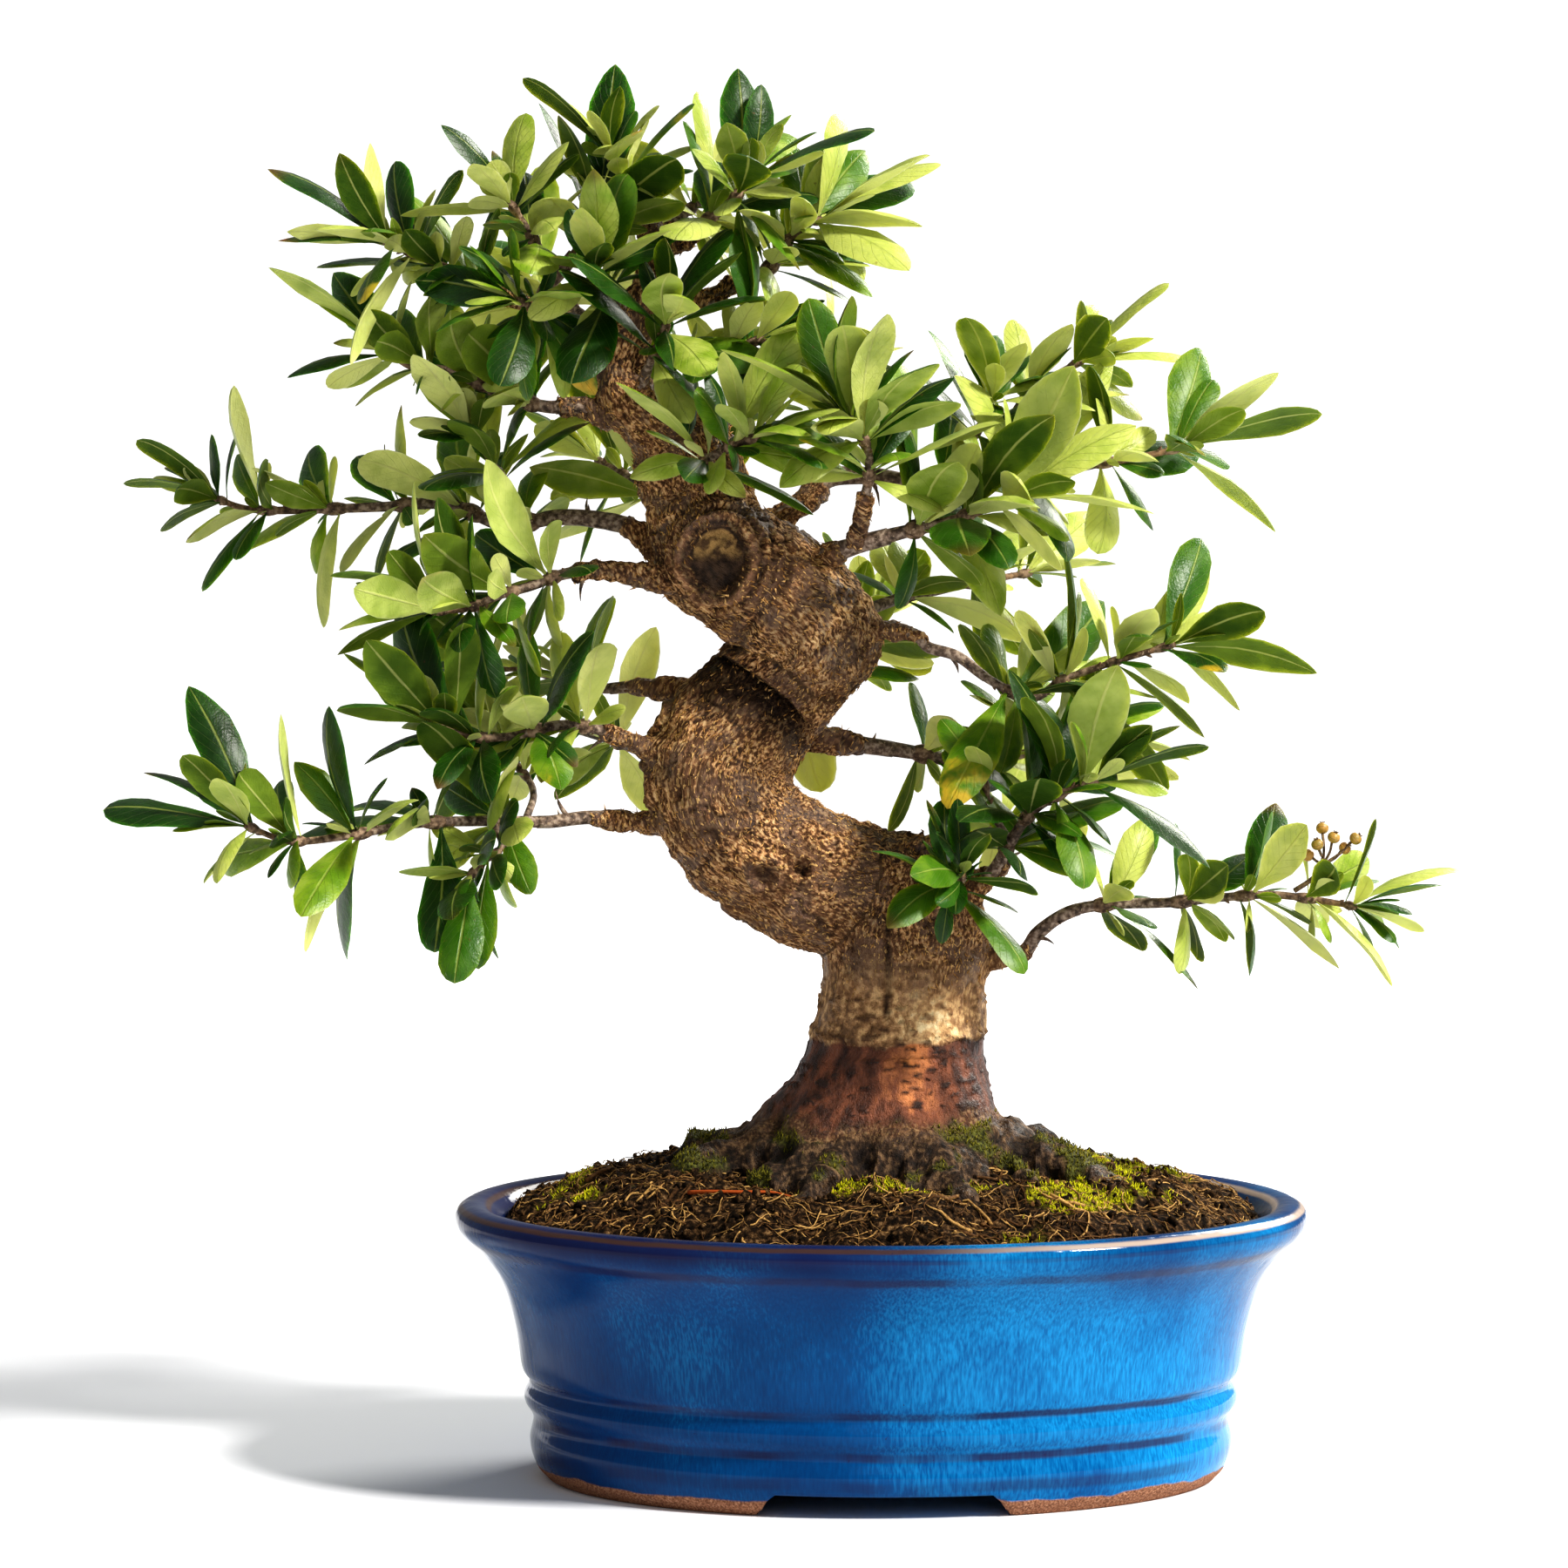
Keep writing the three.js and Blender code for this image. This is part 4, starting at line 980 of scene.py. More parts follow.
def unbend(points):
    """Coordinates that run straight up a bent trunk. The nearest centre is the one whose own ring passes
    closest to the point, and the point's place is its front and right offset from it and its distance up the
    line."""
    lines = [follow(stations, 80) for stations, _ in STRETCHES]
    centres, radius, along, front, right = (np.concatenate(parts) for parts in zip(*lines))
    moves = [np.diff(line[0], axis=0, prepend=line[0][:1]) for line in lines]
    steps = [np.linalg.norm(move, axis=1).cumsum() for move in moves]
    run = np.concatenate([step + STRETCH_APART * i for i, step in enumerate(steps)])
    square = (points**2).sum(1)[:, None] + (centres**2).sum(1) - 2 * points @ centres.T
    nearest = (np.sqrt(np.maximum(square, 0)) - radius).argmin(axis=1)
    offset = points - centres[nearest]
    parts = [(offset * way[nearest]).sum(1) for way in (front, right, along)]
    return np.stack([parts[0], parts[1], run[nearest] + parts[2]], axis=1), along[nearest]


bark_points, bark_normals = read_points(trunk_mesh)
bark_x, bark_y, bark_z = bark_points.T
straight, bark_along = unbend(bark_points)
print("bark points:", len(bark_points), "length unbent, mm:", np.round(np.ptp(straight[:, 2]), 0))

# %% [markdown]
# ## The bark's relief
# The bark changes as it rises. The root flare is furrowed and mossy. A smooth red-brown band above it has
# raised pores that lie sideways, and it ends at a ledge with a tan, cracked band. All the wood above is
# brown and covered with small flakes. On the front are a healed pruning scar and a few knots, and the stub
# at the top of the lower trunk is ragged. Each of these is a height in millimetres, and their sum moves
# every point along its normal.

# %% Zones of bark
level = bark_z + 1.8 * rough(bark_points, 9, 2, 21)
wavering = level + 5 * rough(bark_points, 12, 2, 47)
roots_zone = 1 - eased(wavering, 117, 131)
ledge = eased(level, 152.4, 153.8)
red_zone = eased(wavering, 119, 130) * (1 - ledge)
tan_zone = ledge * (1 - eased(wavering, 163, 186))
flaky_zone = eased(wavering, 168, 188)


def ridged(points, seed):
    """Noise folded at zero, so that its zero lines become sharp crests of height 1."""
    return 1 - np.abs(lattice_noise(points, seed)) * 2


flakes = 0.38 * ridged(straight / (2.6, 2.6, 5.5), 31) + 0.34 * ridged(straight / (1.7, 1.7, 3.0), 32)
cracks = eased(ridged(straight / (7, 7, 46), 33), 0.90, 1.0)
bent = 0.3 * rough(bark_points, 10, 2, 54)[:, None]
wrinkles = eased(ridged(straight / (26, 26, 8) + bent, 55), 0.86, 1.0)
pore_field = lattice_noise(straight / (4.6, 4.6, 1.5), 34)
pores = eased(pore_field + 0.02 * tan_zone, 0.44, 0.58)
furrows = ridged(straight / (9, 9, 26), 35)

relief = 2.0 * rough(bark_points, 16, 2, 36)
plates = eased(lattice_noise(straight / (7, 7, 4.5), 53), 0.05, 0.28)
relief += flaky_zone * (
    flakes + 0.6 * plates + 0.6 * rough(bark_points, 4.5, 3, 37) + 1.2 * rough(bark_points, 9, 2, 52)
    - 0.9 * wrinkles
)
relief += tan_zone * (0.5 * rough(straight / (1, 1, 2), 4, 3, 38) - 0.9 * cracks + 0.8 * pores)
relief += red_zone * (0.2 * rough(bark_points, 7, 2, 39) + 0.55 * pores)
relief += roots_zone * (2.0 * furrows + 2.4 * rough(bark_points, 9, 3, 40))
relief += eased(level, 152.6, 153.6) * (1 - eased(level, 156, 172))
split = np.exp(-(((bark_x - 2 - 1.2 * rough(bark_points, 18, 2, 48)) / 0.9) ** 2))
split *= eased(level, 160, 165) * eased(level, 203, 192) * (bark_y < 0)
relief -= 1.9 * split
print("relief, mm:", np.round([relief.min(), relief.max()], 2))


# %% Scar, knots and the ragged stub
SCAR = {"x": -56, "y": -27.2, "z": 319, "radius": 10.5, "lip": 3.8, "depth": 3.4, "tall": 1.15}
FRONT_KNOTS = [(-41, 210, 5.6), (-26, 214.5, 4.4), (-12, 252, 2.6)]
SIDE_KNOTS = [
    ((-79, -4, 240), 7), ((-77, -2, 263), 6), ((-1, -8, 305), 4.5), ((-41, 27, 236), 6), ((22, 26, 186), 7),
]


def front_point(x, z):
    """The foremost point of the bark at an x and z."""
    near = np.abs(bark_points[:, [0, 2]] - (x, z)).max(axis=1) < 2
    return bark_points[near][bark_points[near][:, 1].argmin()]


def knot_relief(centre, radius):
    """A raised ring with a hollow inside it, both bell curves of the distance, and ripples."""
    away = np.linalg.norm(bark_points - centre, axis=1) / radius
    ripples = 0.7 * np.cos(6 * away) * np.exp(-((away / 1.3) ** 2))
    return 1.9 * np.exp(-(((away - 1) / 0.3) ** 2)) - 2.2 * np.exp(-((away / 0.4) ** 2)) + ripples


knots = [(front_point(x, z), radius) for x, z, radius in FRONT_KNOTS] + SIDE_KNOTS
knot_field = np.sum([knot_relief(np.array(centre), radius) for centre, radius in knots], axis=0)
relief += knot_field

crest = eased(level, 205, 213) * eased(bark_x, 4, 16) * (1 - eased(bark_x, 44, 60))
crest *= 1 - eased(level, 232, 240)
relief += crest * (3.2 * ridged(bark_points / 5.5, 41) + 1.2 * rough(bark_points, 3, 2, 42) - 0.8)

scar_x = bark_x - SCAR["x"]
scar_z = (bark_z - SCAR["z"]) / SCAR["tall"]
scar_away = np.hypot(scar_x, scar_z) + 0.7 * rough(bark_points, 6, 2, 43)
facing = (bark_y < -12) * eased(scar_away, 40, 30)
lip = np.exp(-(((scar_away - SCAR["radius"] - 1.6) / 2.2) ** 2)) * (1 - 0.3 * eased(scar_z, -4, 12))
folds = np.cos(1.35 * (scar_away - 12)) * np.exp(-np.maximum(scar_away - 15, 0) / 8)
folds *= eased(scar_away, 13, 15)
relief += facing * (SCAR["lip"] * lip + 1.1 * folds)

# The upper bend lies in front of the lower one, and its lower edge overhangs the wood that runs back. The
# edge, and the groove that runs up from it, are given as x and z.
FOLD_EDGE = [(-64, 283), (-55, 284.5), (-46, 280.5), (-38, 275), (-31, 269.5), (-25, 262), (-21, 256)]
GROOVE = [(-52, 283), (-44.5, 298), (-34, 311), (-31.5, 321)]
fold_x, fold_z = np.transpose(FOLD_EDGE)
edge_height = np.interp(bark_x, fold_x, fold_z)
above = bark_z - edge_height - 0.9 * rough(bark_points, 12, 2, 51)
fronting = eased(-bark_normals[:, 1], -0.15, 0.35)
fold_reach = eased(bark_x, -70, -59) * eased(bark_x, -21, -30) * fronting
fold_reach *= np.abs(above) < 45
lip_share = eased(above, -1.0, 0.8)
overhang = fold_reach * (1 - lip_share) * 12 * np.exp(np.minimum(above, 0) / 13)
overhang -= fold_reach * lip_share * 4.2 * np.exp(-np.maximum(above, 0) / 11)
groove_x, groove_z = np.transpose(GROOVE)
groove = np.exp(-(((bark_x - np.interp(bark_z, groove_z, groove_x)) / 1.9) ** 2))
groove *= eased(bark_z, 282, 288) * eased(bark_z, 322, 314) * fronting
relief -= 2.4 * groove
carved = bark_points + bark_normals * relief[:, None]
carved[:, 1] += overhang

inside = facing * eased(scar_away, SCAR["radius"] - 0.6, SCAR["radius"] - 2.2)
old_wood = SCAR["y"] + SCAR["depth"] + 0.5 * rough(bark_points, 3, 3, 44)
carved[:, 1] += inside * (old_wood - carved[:, 1])
trunk_mesh.vertices.foreach_set("co", in_frame(carved).astype(np.float32).ravel())
trunk_mesh.update()
print("knots:", len(knots), "points in the scar:", int((inside > 0.5).sum()))

# %% Marks for the bark's colours
scar_rim = eased(scar_away, 11.4, 10.2) * eased(scar_away, 8.8, 10.2) * facing
# Painted shade: the hollow mark darkens the knots, the scar's rim, folds, cracks, wrinkles, the crest's
# recesses, root furrows, the split, the groove and the wood under the upper bend's overhang.
hollow = 0.7 * np.clip(-knot_field - 0.2, 0, 1) + scar_rim
hollow += 0.6 * facing * eased(-folds, 0.15, 0.7) + 0.5 * tan_zone * cracks + crest * eased(relief, 0, -1.5)
hollow += 0.55 * flaky_zone * wrinkles
hollow += 0.9 * fold_reach * eased(above, -27, -8) * (1 - lip_share) + 0.45 * groove
hollow += roots_zone * eased(furrows + 0.8 * rough(bark_points, 9, 3, 40), 0.25, -0.6) + split
moss_zone = roots_zone * eased(rough(bark_points, 11, 3, 45) + 0.3 * bark_normals[:, 2], 0.30, 0.6)
zones = np.stack([red_zone, tan_zone, np.clip(moss_zone, 0, 1), np.clip(hollow, 0, 1)], axis=1)
scar_shade = inside * (1 + eased(scar_z, -3, 4))
# The glow mark: a painted pool of sunlight on the upper bend, and a paler column down the front of the red
# and tan bands that is partly the bark's own colour and partly painted light.
glow_x = 9 + 8 * tan_zone
glow_width = 9 + 2 * tan_zone
glow = np.exp(-(((bark_x - glow_x) / glow_width) ** 2))
glow *= eased(level, 126, 138)
glow *= eased(level, 178, 160)
glow += np.exp(-(((bark_x + 19) / 17) ** 2) - ((bark_z - 290) / 15) ** 2)
glow *= bark_y < 0
details = np.stack([pores * (red_zone + 0.55 * tan_zone), scar_shade / 2, roots_zone, glow], axis=1)
raised_edge = facing * lip * (1 - inside)
add_mark(trunk_mesh, "raised_edge", raised_edge[:, None])
add_mark(trunk_mesh, "zones", zones)
add_mark(trunk_mesh, "details", details)
add_mark(trunk_mesh, "straight", straight)
print("mean of each zone:", np.round(zones.mean(axis=0), 3))

# %% [markdown]
# Flakes and fibres lie along the trunk, so their noise reads the unbent coordinates and is drawn out
# lengthways. Grey patches and smooth brown ones break up the flaky bark. The zone marks then choose between
# flaky brown, red-brown, tan, moss and the painted shade of hollows and creases. A glow mark makes the wood
# paler down the front, partly the bark's own colour and partly painted light, and paints a pool of light on
# the upper bend.

# %% Bark finish
FLAKY_SHADES = [
    (0.0, (0.012, 0.006, 0.003)), (0.37, (0.130, 0.059, 0.026)), (0.66, (0.60, 0.32, 0.14)),
    (1.0, (1.0, 0.71, 0.37)),
]
RED_SHADES = [(0.0, (0.030, 0.012, 0.009)), (0.45, (0.23, 0.080, 0.040)), (1.0, (0.88, 0.34, 0.12))]
TAN_SHADES = [
    (0.0, (0.15, 0.078, 0.035)), (0.34, (0.40, 0.22, 0.10)), (0.64, (0.76, 0.49, 0.235)),
    (1.0, (1.0, 0.80, 0.47)),
]
ROOT_SHADES = [(0.0, (0.010, 0.006, 0.004)), (0.5, (0.050, 0.028, 0.016)), (1.0, (0.20, 0.12, 0.06))]
PAINTED_SHADE_DARK = (0.008, 0.005, 0.004)


def bark_finish():
    material, tree, shader = new_finish("bark_old", specular_ior_level=0.25)
    place = place_in_mm(tree)
    run = mark_at(tree, "straight", "Vector")
    drawn_out = add_node(tree, "Mapping", {"Vector": run, "Scale": (1, 1, 0.6)}).outputs[0]
    sideways = add_node(tree, "Mapping", {"Vector": run, "Scale": (0.3, 0.3, 1)}).outputs[0]
    zone = add_node(tree, "SeparateColor", {0: mark_at(tree, "zones", "Color")})
    red, tan, moss = (zone.outputs[i] for i in range(3))
    dark = mark_at(tree, "zones", "Alpha")
    detail = add_node(tree, "SeparateColor", {0: mark_at(tree, "details", "Color")})
    pore, scar, root = (detail.outputs[i] for i in range(3))
    glow = mark_at(tree, "details", "Alpha")

    grain = mottled(tree, drawn_out, scale=0.9, detail=6.0, low=0.31, high=0.72)
    # Painted light: the glow mark makes the flaky, red and tan bark paler.
    lit_wood = plus(tree, grain, times(tree, glow, 0.22))
    flaky = shades(tree, lit_wood, *FLAKY_SHADES)
    grey = mottled(tree, place, scale=0.085, detail=5.0, low=0.47, high=0.60)
    flaky = stained(tree, flaky, grey, 0.72, (0.105, 0.075, 0.064))
    fibre = mottled(tree, drawn_out, scale=1.1, detail=2.0, low=0.60, high=0.66)
    smooth = mottled(tree, place, scale=0.055, detail=3.0, low=0.46, high=0.62)
    flaky = stained(tree, flaky, smooth, 0.55, (0.085, 0.046, 0.028))
    warm = mottled(tree, place, scale=0.03, detail=2.0, low=0.36, high=0.6)
    flaky = stained(tree, flaky, warm, 0.3, (0.20, 0.085, 0.028))
    gold = times(tree, fibre, plus(tree, times(tree, warm, 0.45), 0.4))
    colour = mixed(tree, gold, flaky, (0.86, 0.53, 0.20))

    blush = mottled(tree, drawn_out, scale=0.22, detail=6.0, low=0.3, high=0.75)
    blush = plus(tree, times(tree, blush, 0.45), times(tree, glow, 0.55), True)
    colour = mixed(tree, red, colour, shades(tree, blush, *RED_SHADES))
    husk = mottled(tree, place, scale=0.35, detail=7.0, low=0.32, high=0.70)
    husk = plus(tree, times(tree, husk, 0.62), times(tree, glow, 0.45), True)
    colour = mixed(tree, tan, colour, shades(tree, husk, *TAN_SHADES))
    pore_edge = mottled(tree, sideways, scale=1.2, detail=2.0, low=0.22, high=0.5)
    colour = stained(tree, colour, pore, pore_edge, (0.035, 0.018, 0.014))
    rooty = mottled(tree, drawn_out, scale=0.5, detail=6.0, low=0.3, high=0.75)
    colour = mixed(tree, root, colour, shades(tree, rooty, *ROOT_SHADES))
    # Painted highlight: the crest of the scar's raised lip is paler, in patches.
    edge = mark_at(tree, "raised_edge", "Fac")
    highlight_patches = mottled(tree, place, scale=0.35, detail=4.0, low=0.3, high=0.7)
    colour = stained(tree, colour, times(tree, edge, highlight_patches), 0.7, (0.36, 0.19, 0.11))
    weather = mottled(tree, place, scale=0.3, detail=6.0, low=0.36, high=0.62)
    lower_wood = mixed(tree, weather, (0.022, 0.013, 0.009), (0.085, 0.048, 0.028))
    upper_wood = mixed(tree, weather, (0.10, 0.055, 0.025), (0.46, 0.28, 0.10))
    old_wood = mixed(tree, soft_step(tree, scar, 0.55, 1.1), lower_wood, upper_wood)
    colour = mixed(tree, soft_step(tree, scar, 0.0, 0.45), colour, old_wood)
    green = mottled(tree, place, scale=0.8, detail=4.0, low=0.35, high=0.7)
    moss_colour = shades(tree, green, (0.0, (0.025, 0.03, 0.006)), (1.0, (0.17, 0.18, 0.03)))
    colour = stained(tree, colour, moss, 0.8, moss_colour)
    # Painted shade in hollows, creases and under the overhang.
    colour = stained(tree, colour, dark, 0.85, PAINTED_SHADE_DARK)
    tree.links.new(colour, shader.inputs["Base Color"])
    smooth_parts = maths(tree, "MAXIMUM", red, times(tree, grey, 0.85))
    sheen = between(tree, smooth_parts, 0.84, 0.42)
    tree.links.new(sheen, shader.inputs["Roughness"])
    fine = effect(tree, RELIEF, place=drawn_out, scale=0.8, fine_share=0.5)
    bump(tree, shader, plus(tree, fine, times(tree, fibre, 0.5)), 0.85)
    return material


# %% [markdown]
# Short golden fibres stand off the flaky bark everywhere. Each is a sliver with four faces, and moss uses
# the same shape.

# %% Golden fibres
SLIVER_FACES = np.array([(0, 2, 1), (0, 1, 3), (1, 2, 3), (2, 0, 3)])


def bits_skin(shape, corners, finish, tones):
    """Many copies of one small shape, all at once: its faces are triples of corners, and each copy has its
    own corners and its own tone."""
    count, each = corners.shape[:2]
    faces = (shape[None] + each * np.arange(count)[:, None, None]).reshape(-1, 3)
    marks = {"tone": np.repeat(tones, each)[:, None]}
    no_quads = np.zeros((0, 4), int)
    return Skin(corners.reshape(-1, 3), no_quads, faces, no_quads[:, 0], np.full(len(faces), finish), marks)


def slivers(foot, way, length, width, random, finish):
    """Spikes: a triangle of corners round each foot, square to the way it points, and the point itself."""
    count = len(foot)
    upward, sideways = square_to(way)
    corner = random.random(count)[:, None] * 2 * math.pi + full_turn(3)
    reach = width[:, None, None] * np.stack([np.cos(corner), np.sin(corner)])[..., None]
    base = foot[:, None] + upward[:, None] * reach[0] + sideways[:, None] * reach[1]
    tip = foot + way * length[:, None]
    corners = np.concatenate([base, tip[:, None]], axis=1)
    return bits_skin(SLIVER_FACES, corners, finish, random.random(count))


def fibre_skin(count):
    """Fibres at random points of the flaky bark, more where the noise is high, each a little off the trunk's
    own direction and lifted from the surface."""
    random = np.random.default_rng(601)
    likely = flaky_zone * (1 - inside) * eased(rough(bark_points, 22, 2, 46), -0.5, 0.5) + 0.02 * tan_zone
    picked = random.choice(len(carved), count, p=likely / likely.sum())
    spots = carved[picked] - 0.15 * bark_normals[picked]
    scatter = random.normal(size=(count, 3)) * 0.6
    sense = np.where(random.random(count) < 0.5, -1, 1)[:, None]
    way = bark_along[picked] * sense + scatter
    away = (way * bark_normals[picked]).sum(1)[:, None] * bark_normals[picked]
    way = unit(way - away + 0.16 * bark_normals[picked])
    length = 0.9 + 2.0 * random.random(count)
    width = 0.24 + 0.24 * random.random(count)
    return slivers(spots, way, length, width, random, 0)


def tone_finish(name, *stops):
    """A dry matte finish whose colour follows each bit's own tone, with a little grain."""
    material, tree, shader = new_finish(name, roughness=0.8, specular_ior_level=0.15)
    tone = mark_at(tree, "tone", "Fac")
    grain = mottled(tree, place_in_mm(tree), scale=1.0, detail=3.0, low=0.3, high=0.7)
    varied = plus(tree, times(tree, tone, 0.7), times(tree, grain, 0.3))
    tree.links.new(shades(tree, varied, *stops), shader.inputs["Base Color"])
    return material


fibre_gold = tone_finish(
    "fibre_gold", (0.0, (0.16, 0.075, 0.026)), (0.5, (0.55, 0.29, 0.09)), (1.0, (0.95, 0.64, 0.28))
)
add_piece("trunk_bark", trunk_mesh, [bark_finish()], ["trunk"])
add_piece("bark_fibres", mesh_of("bark_fibres", fibre_skin(7500)), [fibre_gold], ["trunk"])

# %% [markdown]
# ## Limbs, twigs and thorns
# The bare first part of each bough is grey-brown wood with a thin bark, lumpy where old twigs were cut.
# Thorns are short side shoots with a hard point. A limb is a tube whose radius thins evenly, times a slow
# noise.

# %% Limb and thorn shapes
LIMB_STEP = 2.2
LEAF_TOP, LEAF_UNDERSIDE, LEAF_WOOD = 0, 1, 2


def wood_marks(young):
    """Marks for wood: how far along its bough each ring lies, or one such number for all the rings."""
    return {"young": np.reshape(young, (1, -1, 1, 1))}


def stem(path, girth, start, end, sides, seed):
    """A limb or twig from one share of its path to another, lumpy by 1 + 0.07 noise."""
    length = line_length(path)
    shares = np.linspace(start, end, max(4, int((end - start) * length / LIMB_STEP)))
    angle = full_turn(sides)
    spots = np.stack(np.broadcast_arrays(
        3 * np.cos(angle)[None], 3 * np.sin(angle)[None], shares[:, None] * length
    ), axis=-1)
    bumps = 1 + 0.07 * rough(spots.reshape(-1, 3), 7, 2, seed).reshape(len(shares), sides)
    radii = girth[0] + (girth[1] - girth[0]) * shares
    return tube(path, shares, radii, sides, wood_marks(shares), finish=LEAF_WOOD, bumps=bumps)


def side_shoot(path, share, turn, lean):
    """Where a shoot leaves its bough, its direction, and the bough's own direction there."""
    along = direction_at(path, share)
    upward, sideways = square_to(along)
    out = unit(upward * math.cos(turn) + sideways * math.sin(turn) + lean * along)
    return line_at(path, share), out, along


def thorn(path, share, turn, length, radius):
    """A cone that leans along the bough: its radius falls as 1 - t^1.4, and its point turns up a little."""
    foot, out, along = side_shoot(path, share, turn, 0.35)
    bow = 0.08 * length * along
    route = [foot, foot + out * length * 0.5 + bow, foot + out * length]
    t = np.linspace(0, 0.92, 6)
    return tube(route, t, radius * (1 - t**1.4), 6, wood_marks(0.6), finish=LEAF_WOOD)


limb_skins = []
for index, bough in enumerate(BOUGHS):
    limb_skins.append(stem(bough["path"], bough["girth"], 0, bough["bare"] + 0.01, 10, 60 + index))
    if bough["thorn"]:
        limb_skins.append(thorn(bough["path"], bough["thorn"], index * GOLDEN_ANGLE, 12, 1.0))
    turn = index * 2.1
    limb_skins.append(thorn(bough["path"], 0.8 * bough["bare"], turn, bough["girth"][0] + 2.0, 0.9))
limbs = gather(limb_skins)
limbs.quad_finish[:] = 0
limbs.triangle_finish[:] = 0
print("limb skins:", len(limb_skins))


# %% Young bark finish
OLD_WOOD_SHADES = [(0.0, (0.05, 0.033, 0.025)), (0.5, (0.19, 0.13, 0.095)), (1.0, (0.45, 0.35, 0.27))]
FRESH_WOOD_SHADES = [(0.0, (0.06, 0.032, 0.017)), (1.0, (0.30, 0.18, 0.09))]


def young_bark_finish():
    material, tree, shader = new_finish("bark_young", specular_ior_level=0.25)
    place = place_in_mm(tree)
    age = mark_at(tree, "young", "Fac")
    grain = mottled(tree, place, scale=0.5, detail=6.0, low=0.3, high=0.72)
    old = shades(tree, grain, *OLD_WOOD_SHADES)
    fresh = shades(tree, grain, *FRESH_WOOD_SHADES)
    colour = mixed(tree, soft_step(tree, age, 0.55, 1.0), old, fresh)
    pale = mottled(tree, place, scale=1.1, detail=2.0, low=0.64, high=0.7)
    tree.links.new(mixed(tree, pale, colour, (0.38, 0.28, 0.18)), shader.inputs["Base Color"])
    tree.links.new(between(tree, grain, 0.55, 0.8), shader.inputs["Roughness"])
    bump(tree, shader, effect(tree, RELIEF, place=place, scale=0.9, fine_share=0.4), 0.3)
    return material


bark_young = young_bark_finish()
add_piece("limbs", mesh_of("limbs", limbs), [bark_young], ["trunk"])

# %% [markdown]
# ## Which leaves grow where
# The CAD part grows its leaves by a rule: rosettes along each stem, a fuller one at its tip, and each leaf
# turned by the golden angle from the last. It draws random numbers as it goes, tries up to seven places for
# a leaf, and keeps the first that is clear of the others. The same rule with the same numbers gives the same
# places here, and a leaf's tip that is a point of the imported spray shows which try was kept.

# %% The rule
LEAF_STEP = 1.4
LEAF_TRIES = 7
ROOT_DEPTH = 0.4
TREE_SEED = 5


def seeded(seed):
    """Random numbers from 0 to 1: a counter whose bits are mixed by two multiplications."""
    whole = 0xFFFFFFFF
    state = seed & whole

    def draw():
        nonlocal state
        state = (state + 0x6D2B79F5) & whole
        bits = ((state ^ (state >> 15)) * (state | 1)) & whole
        bits ^= (bits + (bits ^ (bits >> 7)) * (bits | 61)) & whole
        return (bits ^ (bits >> 14)) / 4294967296

    return draw


def stems_of(bough, index):
    """The bough itself and its forks, each with the share where its leaves start."""
    main = {**bough, "from": bough["bare"] + 0.04, "turn": index, "start": bough["bare"]}
    forks = [
        {
            **twig, "path": [tuple(line_at(bough["path"], twig["at"])), *twig["path"]], "girth": (1.4, 1.2),
            "from": 0.3, "turn": index + i + 1, "start": 0,
        }
        for i, twig in enumerate(bough["forks"])
    ]
    return [main, *forks]


def rosettes_of(stem):
    """Where each rosette sits on its stem, its turn, its leaf count, and how its leaves tilt and spread."""
    count, first = stem["rosettes"], stem["from"]
    side = [
        (first + (0.94 - first) * (i + 0.4) / count, stem["turn"] + i * 1.9, 4, 44, 13) for i in range(count)
    ]
    return side + [(1 - LEAF_STEP / line_length(stem["path"]), stem["turn"], 5, 14, 15)]


def leaf_at(stem, rosette, k, attempt, size, draw):
    """One leaf: its root, direction, face, length, width, droop and arch, from seven random numbers."""
    start, turn, _, tilt, spread = rosette
    share = start - k * LEAF_STEP / line_length(stem["path"])
    along = direction_at(stem["path"], share)
    upward, sideways = square_to(along)
    around = turn + (k + 0.37 * attempt) * GOLDEN_ANGLE + (draw() - 0.5) * 0.8
    tilted = math.radians(tilt + spread * k + 22 * (draw() - 0.5))
    swing = upward * math.cos(around) + sideways * math.sin(around)
    direction = unit(along * math.cos(tilted) + swing * math.sin(tilted) + UP * 0.22)
    length = size * (0.68 + 0.68 * draw())
    width = length * (0.3 + 0.13 * draw())
    lean = along * 0.6 + UP * 0.8
    face = unit(lean - direction * (lean @ direction))
    twist = (draw() - 0.5) * 1.6
    face = face * math.cos(twist) + np.cross(direction, face) * math.sin(twist)
    droop = 0.04 + 0.2 * draw()
    arch = 0.2 + 0.16 * draw()
    root = line_at(stem["path"], share) - direction * ROOT_DEPTH
    return {
        "root": root, "direction": direction, "face": face, "length": length, "width": width, "droop": droop,
        "arch": arch,
    }


def leaf_tip(leaf):
    return leaf["root"] + leaf["length"] * (leaf["direction"] - leaf["face"] * leaf["droop"])


def kept_leaves(bough, index):
    """The leaves that the CAD part kept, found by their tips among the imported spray's points."""
    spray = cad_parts["spray_" + bough["name"]].data
    points = np.zeros((len(spray.vertices), 3), np.float32)
    spray.vertices.foreach_get("co", points.ravel())
    points = (points - POT_CENTRE) / MM
    draw = seeded(1000 * TREE_SEED + index)
    leaves = []
    for stem in stems_of(bough, index):
        for rosette in rosettes_of(stem):
            for k in range(rosette[2]):
                for attempt in range(LEAF_TRIES):
                    leaf = leaf_at(stem, rosette, k, attempt, stem["size"], draw)
                    if np.abs(points - leaf_tip(leaf)).max(axis=1).min() < 0.02:
                        leaves.append(leaf)
                        break
    return leaves


LEAVES = [kept_leaves(bough, index) for index, bough in enumerate(BOUGHS)]
print("leaves kept:", sum(map(len, LEAVES)), "fewest on a spray:", min(map(len, LEAVES)))

